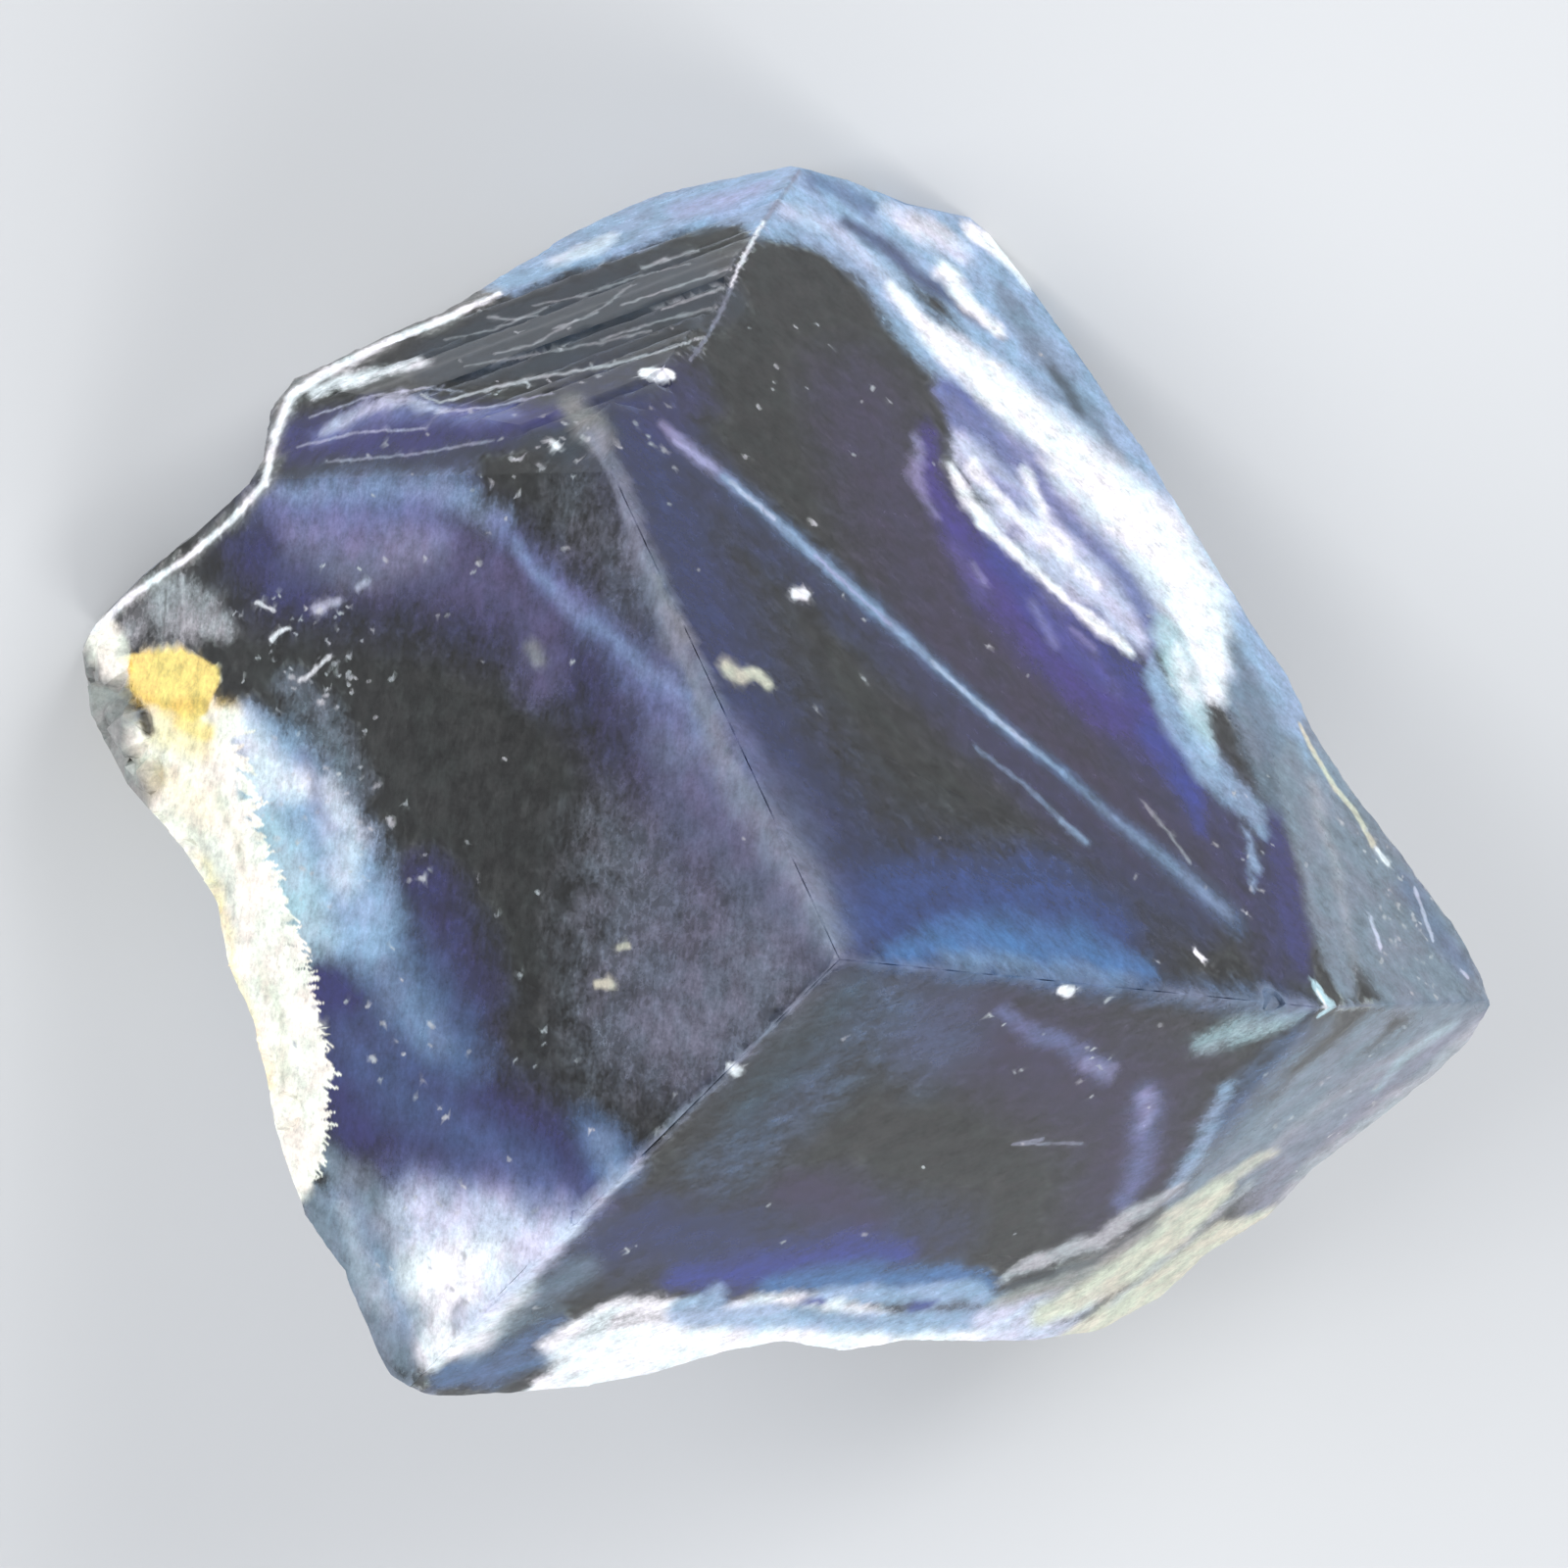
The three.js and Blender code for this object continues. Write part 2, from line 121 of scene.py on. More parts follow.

# Soft veils, painted shade and painted glow, as tint, cover, softness, then each (x, y, radius) seen
# from above, in mm
STROKES = [
    # Broad faint veils under the rest
    ("indigo", 0.45, 0.9, (-16.8, 7, 1.96), (-13.2, 6.7, 1.96), (-9.8, 5.1, 1.68), (-7.2, 2.7, 1.68),
     (-5.2, -0.7, 1.68)),
    ("mauve", 0.32, 1, (-5.9, 1, 1.4), (-4.7, -1.8, 1.96), (-5, -4.7, 2.24), (-6.1, -7.1, 1.68)),
    ("indigo", 0.6, 0.8, (-15.1, -8.1, 1.68), (-13.4, -10.7, 2.24), (-10.6, -12, 1.96),
     (-8.5, -12, 1.12)),
    ("navy", 0.4, 1, (-7, 11.9, 1.4), (-4.7, 5.7, 1.68), (-2.9, 0.5, 1.68), (-1.1, -2.9, 1.96),
     (3.1, -4.3, 1.68), (8.5, -4.9, 1.4)),
    ("plum", 0.5, 1, (2.1, 11.6, 1.68), (3.5, 7, 1.96), (5.3, 3.2, 1.96), (8.6, -0.6, 1.68),
     (11.8, -3.1, 1.4)),
    ("indigo", 0.5, 1, (11.2, 0.2, 1.4), (13.3, -2.3, 1.4), (14.1, -4.7, 1.12), (14, -6.3, 0.67)),
    ("plum", 0.55, 1, (1.8, -7.1, 1.4), (6.2, -8.5, 1.68), (10.3, -10.3, 1.68), (10.8, -13.8, 1.4)),
    ("navy", 0.5, 1, (-9.5, -15, 0.84), (-5.8, -14.3, 1.4), (-0.8, -14.5, 1.4), (4, -15.4, 1.12)),
    # Upper right face: dark window with navy beside the ridge
    ("navy", 0.75, 1, (-6.7, 10.6, 1.12), (-5.5, 6.9, 1.01), (-4.5, 2.8, 1.29), (-3.4, -0.6, 1.68),
     (-1.9, -3.5, 1.54)),
    ("blue", 0.6, 1, (-1.7, -3.9, 0.73), (1.5, -3.5, 1.12), (5.4, -3.7, 1.06), (7.7, -4.7, 0.78)),
    ("azure", 0.8, 1, (-0.5, -4.8, 0.25), (1.6, -4.6, 0.48), (4, -4.8, 0.67), (6.5, -5.3, 0.62),
     (8.7, -6, 0.31)),
    ("ice", 0.35, 1, (1.5, -5.1, 0.22), (3.8, -5.5, 0.31), (6.3, -5.9, 0.25), (8.1, -6.2, 0.17)),
    ("navy", 0.5, 1, (-5, 10.3, 0.73), (-2.1, 6.9, 0.67), (1.3, 4, 0.73), (4.7, 0.8, 0.73),
     (8, -2.5, 0.73), (11.4, -4.8, 0.62)),
    ("indigo", 0.45, 1, (-4.5, 12, 0.84), (-6, 10.9, 0.78)),
    ("plum", 0.4, 1, (1.5, 12.3, 1.4), (2.2, 8.3, 1.68), (3.4, 3.2, 1.68), (7, -0.5, 1.4),
     (9.3, -2.1, 1.12)),
    ("violet", 0.85, 1, (4.5, 11, 0.34), (4.2, 9.3, 0.5), (5.1, 7.5, 0.73), (6.5, 5.9, 1.01),
     (8.2, 3.9, 1.23), (9.9, 2.2, 1.23), (11.2, 1, 0.95)),
    ("royal", 0.5, 1, (6.2, 7, 0.56), (7.8, 5.5, 0.73), (9.5, 4.2, 0.73), (10.7, 2.8, 0.73)),
    ("royal", 0.85, 0.9, (11, 1, 0.56), (11.8, 0.1, 0.62), (12.1, -1.1, 0.45)),
    ("lilac", 0.5, 1, (3.9, 10.6, 0.22), (3.7, 9.5, 0.28), (4.1, 8.3, 0.2)),
    ("lilac", 0.14, 1, (4.8, 7, 0.34), (5.5, 5.7, 0.34)),
    ("lilac", 0.12, 1, (7.7, 5.2, 0.39), (8.6, 3.8, 0.45), (9.8, 2.5, 0.39)),
    # Pale band along the upper right outline: pale veils, with painted glow of lamp light refracted at
    # the rim
    ("ice", 0.97, 0.12, (0.6, 21.1, 2.41), (3.2, 20.3, 2.46), (5.6, 19.6, 2.91), (8.7, 18.8, 3.64),
     (10.3, 17, 4.14), (12.1, 13.7, 4.7), (14, 10.5, 4.48), (14.9, 8.5, 3.92), (16.1, 5.8, 3.02)),
    ("ice", 0.97, 0.2, (16.1, 5.8, 3.02), (17.1, 4.2, 3.42), (17.9, 2.6, 3.14), (18.4, 0.8, 2.07),
     (19, -0.4, 1.12)),
    ("ice", 0.92, 0.45, (-0.8, 18.3, 0.62), (1.7, 18.2, 0.67), (3.6, 16.9, 0.84), (4.8, 14.9, 0.95),
     (6.3, 13.5, 1.01)),
    ("iris", 0.93, 0.4, (5.7, 12.5, 0.62), (7.1, 10.8, 1.4), (8.7, 8.7, 1.85), (10.6, 6.5, 1.74),
     (11.9, 4.5, 1.01)),
    ("pearl", 0.5, 1, (0.4, 18.8, 0.34), (2.6, 18.2, 0.39), (4, 16.7, 0.39), (5, 14.8, 0.39)),
    ("steel", 0.75, 0.8, (1.1, 20.3, 0.28), (2.6, 19.9, 0.34), (3.9, 19.3, 0.28)),
    ("navy", 0.85, 0.9, (2.7, 18.7, 0.22), (4, 18.1, 0.28), (5.4, 16.9, 0.31), (7.2, 15.6, 0.22),
     (8.4, 14.6, 0.11)),
    ("pearl", 0.9, 0.7, (4.7, 19.3, 0.36), (6.2, 18.5, 0.62), (7.3, 17.8, 0.56)),
    ("cream", 0.3, 0.9, (5.5, 18.9, 0.39), (6.8, 18.5, 0.45)),
    ("white", 1, 0.4, (8.2, 18.7, 0.42), (9.4, 18.1, 0.48), (10.1, 17.2, 0.34)),
    ("white", 0.95, 0.6, (6.4, 17, 0.31), (7.3, 16, 0.36), (8.3, 14.9, 0.25)),
    ("slate", 0.75, 0.8, (8.9, 16.3, 0.39), (9.8, 14.7, 0.5), (10.8, 13.1, 0.62), (11.7, 11.7, 0.5),
     (12.6, 10.4, 0.28)),
    # Painted shade among the pale streaks
    ("painted_shade", 0.75, 0.8, (10.5, 13.5, 0.34), (10.9, 12.8, 0.39), (11.2, 12.1, 0.25)),
    ("white", 1, 0.6, (4.1, 16.3, 0.2), (5.4, 14.8, 0.42), (6.9, 13.5, 0.7), (8, 12.5, 0.9),
     (9.7, 10.9, 1.12), (11.5, 9.1, 1.34), (13.4, 7.4, 1.51), (14.3, 5.7, 1.51), (14.5, 4, 1.12),
     (14.2, 2.6, 0.73)),
    ("pearl", 0.8, 0.8, (6, 10.6, 0.5), (6.7, 9.3, 0.84), (7.8, 7.9, 1.06), (9.3, 6.4, 1.06),
     (10.6, 5.2, 0.78), (11.6, 4.1, 0.34)),
    ("royal", 0.5, 1, (5.7, 12.7, 0.25), (7, 11.9, 0.28), (8.2, 11.2, 0.25), (9.1, 10.4, 0.2)),
    ("iris", 0.8, 0.8, (6, 12.2, 0.22), (7.2, 11.3, 0.25), (8.5, 10.5, 0.22), (8.9, 9.4, 0.17)),
    ("iris", 0.7, 0.9, (6.5, 9.9, 0.17), (7.5, 9, 0.2), (7.8, 8.1, 0.2), (7.1, 7.5, 0.14)),
    ("iris", 0.8, 0.7, (8.7, 9.1, 0.14), (9.4, 8.1, 0.22), (10.5, 7.1, 0.22), (11.7, 6, 0.22),
     (12, 5, 0.17)),
    ("iris", 0.6, 0.9, (6, 7.7, 0.14), (7.3, 6.5, 0.17), (8.8, 5.5, 0.17), (10.1, 4.8, 0.14)),
    ("white", 0.95, 0.6, (5.2, 10, 0.22), (5.6, 8.7, 0.25), (6.7, 7.3, 0.22), (8.1, 6, 0.2),
     (9.6, 4.7, 0.22), (11, 3.7, 0.17)),
    ("white", 0.85, 0.7, (6.1, 10, 0.25), (7.3, 8.4, 0.22), (8.8, 7, 0.2), (10.2, 5.9, 0.17)),
    ("white", 0.8, 0.7, (8.1, 9.8, 0.25), (8.5, 8, 0.2), (9.5, 7, 0.17)),
    ("cyan", 0.95, 0.6, (12.8, 4.1, 0.56), (13, 2.7, 0.73), (13.1, 1.3, 0.56), (13.3, 0.1, 0.34)),
    ("white", 0.6, 0.9, (13, 3.4, 0.28), (13.2, 2.2, 0.34)),
    ("ice", 0.8, 0.6, (11.7, 3.1, 0.34), (12, 1.5, 0.5), (12.9, 0, 0.62), (13.9, -1, 0.56),
     (14.7, -1.8, 0.39), (15, -2.5, 0.2)),
    ("slate", 0.85, 0.8, (15.7, 3.7, 0.39), (15.9, 2, 0.73), (16.4, 0.4, 0.73), (17, -1.1, 0.56)),
    ("ice", 0.7, 0.9, (14.1, -2.3, 0.14), (14.2, -3.3, 0.17), (13.7, -4, 0.11)),
    ("royal", 0.7, 0.9, (11.7, -0.7, 0.28), (12.2, -1.3, 0.31), (12.2, -2.1, 0.22)),
    ("indigo", 0.85, 0.8, (15.6, -1.8, 0.39), (15.3, -3.6, 0.56), (15.1, -5.2, 0.62), (15, -6.4, 0.39)),
    # Frosted bevels at the right tip
    ("frost", 0.85, 0.12, (18.8, 0.4, 1.01), (19.4, -1.1, 1.79), (21, -3.3, 2.74), (22.9, -5.9, 3.53),
     (23.4, -7.6, 3.36)),
    ("frost", 0.9, 0.35, (17.1, 0, 0.56), (17.5, -1.9, 0.95), (18, -3.8, 1.12), (18.4, -5.7, 1.23),
     (19.1, -7.2, 1.12), (21.3, -7.7, 1.01)),
    ("silver", 0.35, 1, (17.6, -1, 0.28), (17.6, -2.9, 0.34), (17.3, -4.8, 0.39), (17.1, -6.6, 0.39)),
    ("frost", 0.9, 0.35, (22.2, -9.1, 0.95), (20.1, -10.2, 1.29), (18.1, -11.6, 1.4),
     (16.3, -13.1, 1.34), (14.3, -14.5, 1.01)),
    ("silver", 0.4, 1, (21.8, -9.3, 0.34), (19.5, -10.7, 0.45), (17.1, -12.2, 0.45), (15.4, -14, 0.39)),
    ("steel", 0.5, 0.9, (20.8, -4.3, 0.45), (21.8, -6, 0.5), (22.6, -7.1, 0.39)),
    ("steel", 0.6, 1, (14.9, -8.7, 0.5), (14, -10.2, 0.67), (13.4, -12.1, 0.62)),
    ("frost", 0.92, 0.35, (16.4, -0.5, 0.56), (16.7, -2.2, 0.7), (16.7, -4, 0.76), (16.6, -5.8, 0.73),
     (16.7, -7.1, 0.56)),
    ("frost", 0.92, 0.35, (18.1, -8.8, 0.73), (16.9, -10.4, 0.95), (15.7, -11.9, 1.06),
     (14.5, -13.5, 1.06), (13.1, -15.2, 0.67)),
    ("haze", 0.85, 0.3, (17.7, -16.8, 1.57), (18.9, -14.7, 2.91), (20.8, -13.1, 2.97),
     (22.6, -11.4, 2.07), (23.7, -10, 1.12), (23.7, -9.1, 0.56)),
    ("silver", 0.65, 0.9, (23.4, -9.5, 0.45), (22.3, -11.2, 0.5), (20.4, -12.8, 0.5),
     (18.6, -14.5, 0.45), (17.6, -16.2, 0.34)),
    ("cyan", 0.4, 0.9, (22.2, -9.1, 0.22), (20.5, -10.1, 0.25), (19.9, -11.4, 0.2)),
    ("slate", 0.7, 0.9, (15.9, -8.6, 0.34), (14.9, -9.9, 0.39), (14.3, -11.8, 0.39),
     (13.3, -13.7, 0.34)),
    ("ice", 0.7, 0.9, (12.8, -10.5, 0.22), (12.7, -11.8, 0.36), (12.5, -13.5, 0.42),
     (12.4, -14.6, 0.28)),
    # Lower face
    ("teal", 0.4, 1, (-1.6, -5.9, 0.67), (-2.6, -7.5, 1.01), (-4.1, -9.4, 0.84)),
    ("plum", 0.55, 1, (1.9, -7.5, 1.12), (5.7, -9.2, 1.4), (9.5, -12.1, 1.4), (9.6, -14.8, 1.23)),
    ("cyan", 0.6, 1, (14.7, -7.9, 0.22), (13.6, -8.1, 0.42), (12.4, -8.3, 0.48), (11.4, -8.6, 0.39)),
    ("steel", 0.5, 1, (-1.2, -5.1, 0.17), (2.8, -5.8, 0.25), (5.5, -6.1, 0.28), (8.4, -6.5, 0.34),
     (10.6, -6.9, 0.45), (13.4, -7.4, 0.5), (14.8, -7.6, 0.39)),
    ("haze", 0.35, 1, (9.1, -6.6, 0.2), (11, -7, 0.25), (13.4, -7.4, 0.28), (14.8, -7.6, 0.28)),
    ("iris", 0.6, 1, (3.8, -6.9, 0.22), (5, -7.8, 0.28), (6.3, -8.2, 0.25), (8, -9.3, 0.39)),
    ("lilac", 0.4, 1, (7.1, -8.9, 0.17), (8.2, -9.4, 0.25)),
    ("iris", 0.6, 1, (9.8, -10.4, 0.45), (10.3, -12, 0.5), (10.6, -13.5, 0.5), (10.5, -14.7, 0.36)),
    ("lilac", 0.4, 1, (9.8, -10.4, 0.25), (10.3, -11.8, 0.22)),
    ("plum", 0.75, 1, (-2.1, -13, 0.67), (-0.5, -13.5, 0.95), (0.9, -14.3, 0.67)),
    ("navy", 0.85, 0.9, (-8, -14.4, 0.56), (-6.5, -13.6, 0.78), (-4.4, -14.8, 0.95),
     (-2.2, -15.9, 0.84)),
    ("royal", 0.85, 1, (-5.2, -15.9, 0.5), (-3.5, -16.2, 0.62), (-1.5, -15.9, 0.67), (0.5, -15.6, 0.73),
     (2.5, -15.8, 0.5)),
    ("azure", 0.85, 1, (-2, -16.7, 0.39), (0.4, -16.7, 0.56), (2.6, -16.9, 0.5), (4.6, -17.2, 0.5),
     (6, -17.7, 0.36)),
    ("ice", 0.9, 0.6, (0.2, -17.4, 0.34), (3.1, -17.6, 0.42), (5.4, -17.9, 0.42), (6.6, -18.4, 0.34)),
    ("ice", 0.9, 0.7, (-4, -16.7, 0.34), (-3.6, -17.3, 0.28)),
    ("slate", 0.75, 0.8, (-12.1, -18.5, 0.39), (-10.7, -16.9, 0.73), (-8.8, -15.4, 0.67)),
    # Pale rim along the bottom outline: frost, with painted glow of lamp light refracted at the rim
    ("white", 1, 0.2, (-9.7, -20.3, 0.34), (-8.9, -20.3, 0.95), (-7.4, -20.3, 1.9), (-5.1, -20, 1.85),
     (-2.9, -19.5, 1.18), (-0.8, -19.3, 0.95), (1.5, -20, 1.12), (3.7, -19.9, 0.92), (6.8, -20.5, 1.01)),
    ("white", 0.95, 0.6, (-8.9, -18.6, 0.5), (-6.5, -18.2, 0.67), (-3.8, -18, 0.56),
     (-1.4, -18.2, 0.39)),
    ("white", 0.85, 0.8, (-9.1, -18.2, 0.34), (-7.3, -17, 0.39), (-6, -17, 0.36), (-4.4, -17.5, 0.28)),
    ("white", 0.8, 0.8, (-3.2, -17.5, 0.28), (-1.2, -17.4, 0.25), (1, -18, 0.28), (2.6, -18.5, 0.22)),
    ("royal", 0.9, 0.7, (-0.5, -17.6, 0.17), (0.1, -17.6, 0.14)),
    ("royal", 0.85, 0.7, (3.3, -18.2, 0.17), (4.1, -18.1, 0.14)),
    ("pearl", 0.9, 0.4, (7.3, -20.4, 0.95), (9.1, -20.7, 0.95), (10.9, -20.8, 0.67)),
    ("grey", 0.9, 0.5, (6.7, -18.6, 0.34), (8.7, -18, 0.5), (10.8, -17.2, 0.56), (12.8, -15.9, 0.56),
     (14.3, -14.5, 0.39)),
    ("ice", 0.9, 0.5, (-5, -17.4, 0.5), (-1.8, -18.1, 0.5), (1.2, -18.7, 0.5), (4.1, -18.9, 0.5),
     (6.4, -19.2, 0.45)),
    ("cream", 0.97, 0.25, (10.3, -20.9, 0.73), (11.8, -20.7, 1.34), (14, -19.7, 1.85),
     (15.5, -17.9, 1.46), (17.7, -16.8, 0.73)),
    ("pearl", 0.85, 0.6, (6.4, -19.2, 0.45), (8.3, -19.2, 0.62), (10.2, -19, 0.67)),
    ("cream", 0.95, 0.5, (8.7, -19.3, 0.5), (10.5, -18.6, 0.73), (12.2, -17.5, 0.9), (13.6, -16.3, 0.73),
     (14.7, -15, 0.42)),
    ("silver", 0.5, 0.9, (11.7, -19.4, 0.2), (13.2, -17.9, 0.22), (14.5, -16.4, 0.22),
     (15.8, -14.9, 0.2)),
    ("cream", 0.7, 0.7, (12.7, -15.7, 0.39), (14.2, -14.7, 0.39), (16.2, -13.6, 0.25)),
    ("silver", 0.85, 0.6, (6.7, -17.4, 0.22), (8.4, -16.7, 0.31), (10.1, -16.3, 0.39),
     (10.9, -15.4, 0.39), (12.5, -14.4, 0.28)),
    # Painted shade: thin dark lines between the pale streaks
    ("painted_shade", 0.65, 0.8, (6.5, -18.1, 0.14), (8.2, -17.6, 0.17), (10, -17.3, 0.17), (11.6, -16.1, 0.11)),
    ("painted_shade", 0.5, 0.8, (11.9, -14.9, 0.11), (12.9, -14.2, 0.11), (13.4, -13.5, 0.08)),
    # Left face
    ("iris", 0.62, 1, (-17.5, 8.5, 0.73), (-15.8, 8.2, 1.12), (-14, 8.3, 1.12), (-12.2, 8.8, 0.73)),
    ("mauve", 0.62, 1, (-14.6, 6.7, 1.01), (-12.3, 6.6, 1.23), (-10.3, 6, 1.12), (-9.5, 4.5, 0.84),
     (-9.7, 2.7, 0.56)),
    ("haze", 0.35, 1, (-16.8, 6.7, 0.73), (-15.2, 6.2, 0.56), (-13.1, 7, 0.67)),
    ("indigo", 0.5, 1, (-18, 7, 0.84), (-16.8, 5.7, 0.84)),
    ("ice", 0.42, 1, (-17.1, 9, 0.39), (-15.2, 8.9, 0.5), (-13.7, 9.1, 0.5), (-12.4, 9, 0.5),
     (-10.8, 7.9, 0.39)),
    ("lilac", 0.22, 1, (-16.8, 7.7, 0.56), (-14.9, 7.3, 0.62), (-12.8, 7.4, 0.5)),
    ("silver", 0.6, 0.9, (-21.1, 5.5, 0.62), (-20, 5, 0.62), (-19.2, 4.4, 0.39)),
    ("silver", 0.45, 1, (-22.6, 4.1, 0.39), (-21.6, 4.8, 0.45), (-20.4, 4.3, 0.45)),
    ("haze", 0.16, 1, (-8.4, 8.7, 0.84), (-7.6, 6, 0.95), (-6.6, 3.3, 1.01), (-5.7, 1, 1.01)),
    ("iris", 0.62, 1, (-10.8, 7.9, 0.28), (-9.2, 6, 0.39), (-7.6, 4.2, 0.48), (-6.1, 2.3, 0.62),
     (-4.7, 0.5, 0.78)),
    ("ice", 0.25, 1, (-10.3, 7.2, 0.17), (-8.7, 5.3, 0.22), (-7.1, 3.7, 0.22), (-5.6, 1.9, 0.28)),
    ("haze", 0.42, 1, (-5.2, 0.8, 1.01), (-4, -1.5, 1.34), (-3.3, -3.7, 1.4), (-4.3, -5.7, 1.29),
     (-5.9, -7.6, 0.95)),
    ("haze", 0.3, 1, (-7.3, -2, 1.4), (-7.1, -4.9, 1.68), (-7.4, -7.8, 1.4)),
    ("mauve", 0.5, 1, (-5.2, -0.1, 0.73), (-4, -1.5, 0.67), (-3.1, -3.1, 0.56)),
    ("indigo", 0.6, 1, (-13, -3.6, 0.78), (-12.5, -5.4, 0.95), (-11.9, -6.8, 0.84), (-13.1, -10, 1.23),
     (-11.4, -11.3, 1.23), (-9.6, -11.9, 1.06), (-8.2, -11.9, 0.56)),
    ("indigo", 0.7, 0.9, (-16, -7.3, 0.62), (-15.4, -9.7, 0.95), (-15.2, -11.5, 0.84)),
    ("steel", 0.75, 1, (-14.9, -4.7, 1.01), (-13.9, -6.5, 1.23), (-13.1, -7.9, 1.12),
     (-12.2, -8.8, 0.78)),
    ("ice", 0.3, 1, (-14.5, -5.6, 0.56), (-13.9, -7.1, 0.62), (-12.8, -8.5, 0.45)),
    ("steel", 0.4, 1, (-15.4, -8.8, 0.67), (-14, -10.1, 0.95), (-12, -11.1, 0.84), (-10.1, -11.9, 0.67)),
    ("steel", 0.8, 0.9, (-8.5, -10.5, 0.56), (-8, -11.3, 0.78), (-7.7, -11.7, 0.62)),
    ("ice", 0.3, 1, (-8.2, -10.8, 0.34), (-7.9, -11.5, 0.39)),
    ("steel", 0.75, 0.9, (-12.9, -18.8, 0.28), (-11.7, -18.6, 0.39), (-10.1, -18.1, 0.39),
     (-9.2, -17.3, 0.39)),
    ("iris", 0.6, 1, (-13.4, -12.9, 0.73), (-11.2, -13.1, 1.01), (-9.1, -13, 0.78)),
    ("pearl", 0.4, 1, (-13.2, -13.5, 0.67), (-11.2, -13.6, 0.84), (-9.6, -13.5, 0.62)),
    ("frost", 0.9, 0.5, (-16.6, -13.8, 0.39), (-15.9, -14.9, 0.84), (-15.1, -16.4, 0.95),
     (-14.2, -18, 0.78)),
    ("frost", 0.85, 0.8, (-15.9, -12.6, 0.45), (-15, -13.5, 0.73), (-14.2, -14.6, 0.78),
     (-13.7, -16.1, 0.73), (-13.6, -17.6, 0.5)),
    ("ice", 0.5, 1, (-15.6, -13.9, 0.45), (-14.8, -15.6, 0.62), (-13.9, -17.2, 0.56)),
    ("steel", 0.85, 0.8, (-12.7, -19.1, 0.34), (-11, -19.1, 0.5), (-9.5, -18.8, 0.39)),
    ("silver", 0.4, 0.9, (-15.6, -14, 0.28), (-15.1, -15.8, 0.39), (-14.4, -17.1, 0.34)),
    ("pearl", 0.85, 0.7, (-13.2, -14.2, 0.95), (-11.5, -14.2, 1.01), (-10.1, -14.3, 0.67)),
    ("white", 1, 0.7, (-12.9, -15.7, 0.95), (-11.8, -15.8, 1.23), (-12.1, -17, 1.01),
     (-13.1, -18.2, 0.39)),
    ("pearl", 0.45, 1, (-7.2, -11.4, 0.17), (-9.6, -14.1, 0.22), (-11.8, -16.7, 0.22)),
    # Painted shade: a small dark spot in the white patch
    ("painted_shade", 0.7, 0.8, (-12.3, -16.4, 0.14), (-12.4, -17.1, 0.17)),
    ("ice", 0.95, 0.5, (-18.4, 1.3, 0.62), (-17.6, 0, 1.23), (-16.9, -1.7, 1.68), (-16.1, -3.4, 1.79),
     (-15.5, -4.9, 1.46)),
    ("frost", 0.5, 1, (-16.8, 2.5, 0.45), (-15.8, 1.1, 0.5), (-15, -0.6, 0.45)),
    ("cyan", 0.75, 0.9, (-18.4, -0.5, 0.56), (-17.9, -2.4, 0.84), (-17.1, -4.3, 0.95),
     (-16.6, -5.5, 0.67)),
    ("white", 0.65, 1, (-18.5, 1.1, 0.5), (-17.8, -0.3, 0.62), (-16.8, -0.7, 0.45)),
    ("white", 0.4, 1, (-15.8, -0.8, 0.39), (-15.3, -2.2, 0.5), (-15.5, -3.8, 0.45)),
    ("indigo", 0.35, 1, (-16.7, 0.2, 0.17), (-16.2, -1.1, 0.22), (-15.6, -2.2, 0.17)),
    ("indigo", 0.85, 0.35, (-16.2, -7.1, 0.5), (-15.6, -7.4, 0.5), (-15.1, -7.4, 0.22)),
    # Stepped cleavage, with painted shade dulling its ledge walls and the broken ledge foot
    ("painted_shade", 0.75, 0.4, (-12.1, 13.3, 0.84), (-9.2, 14.1, 1.4), (-6.3, 15.1, 1.62), (-3.7, 15.9, 1.4),
     (-3, 15.5, 1.12)),
    ("painted_shade", 0.97, 0.6, (-9.8, 10.9, 0.73), (-8.6, 10.7, 1.06), (-8.2, 10.7, 0.84)),
    ("ice", 0.93, 0.2, (-9.6, 16.3, 0.39), (-7.6, 17.8, 1.12), (-5.6, 18.8, 1.4), (-3.5, 19.7, 1.62),
     (-1.3, 20.3, 1.74), (0.2, 20.6, 1.23)),
    ("white", 0.5, 0.9, (-7.6, 17.1, 0.17), (-6.2, 17.7, 0.2), (-5.4, 18.1, 0.14)),
    ("lilac", 0.5, 0.9, (-3.1, 19.1, 0.39), (-1.4, 19.5, 0.39), (0, 20, 0.22)),
    ("indigo", 0.85, 0.7, (-16.7, 10.8, 0.73), (-14.5, 10.9, 0.95), (-12.4, 10.8, 0.9),
     (-10.4, 11, 0.67), (-8.9, 11.3, 0.39)),
    ("iris", 0.7, 1, (-16.1, 10.8, 0.22), (-14.2, 11.6, 0.39), (-12.6, 11.7, 0.39), (-11.2, 11.2, 0.34),
     (-10, 11.4, 0.22)),
    ("pearl", 0.6, 0.9, (-15.7, 11.2, 0.14), (-14.5, 11.7, 0.17), (-13.2, 12.1, 0.17),
     (-12, 11.6, 0.14)),
    ("painted_shade", 0.6, 0.9, (-17.2, 9.6, 0.25), (-15.2, 9.8, 0.28), (-13.1, 9.9, 0.28), (-11, 10.2, 0.25)),
    ("white", 0.8, 0.8, (-16.1, 12.4, 0.14), (-15.3, 12.9, 0.2), (-14, 13.1, 0.22), (-12.5, 13.4, 0.17)),
    # Ridge, rims and the crust on the left
    ("grey", 0.65, 0.9, (-8.1, 11.5, 0.39), (-8, 10.8, 0.42), (-7.8, 10.1, 0.25)),
    ("haze", 0.65, 1, (-8, 10.6, 0.22), (-7.4, 8.7, 0.22), (-6.8, 6.9, 0.28), (-6.2, 5, 0.34),
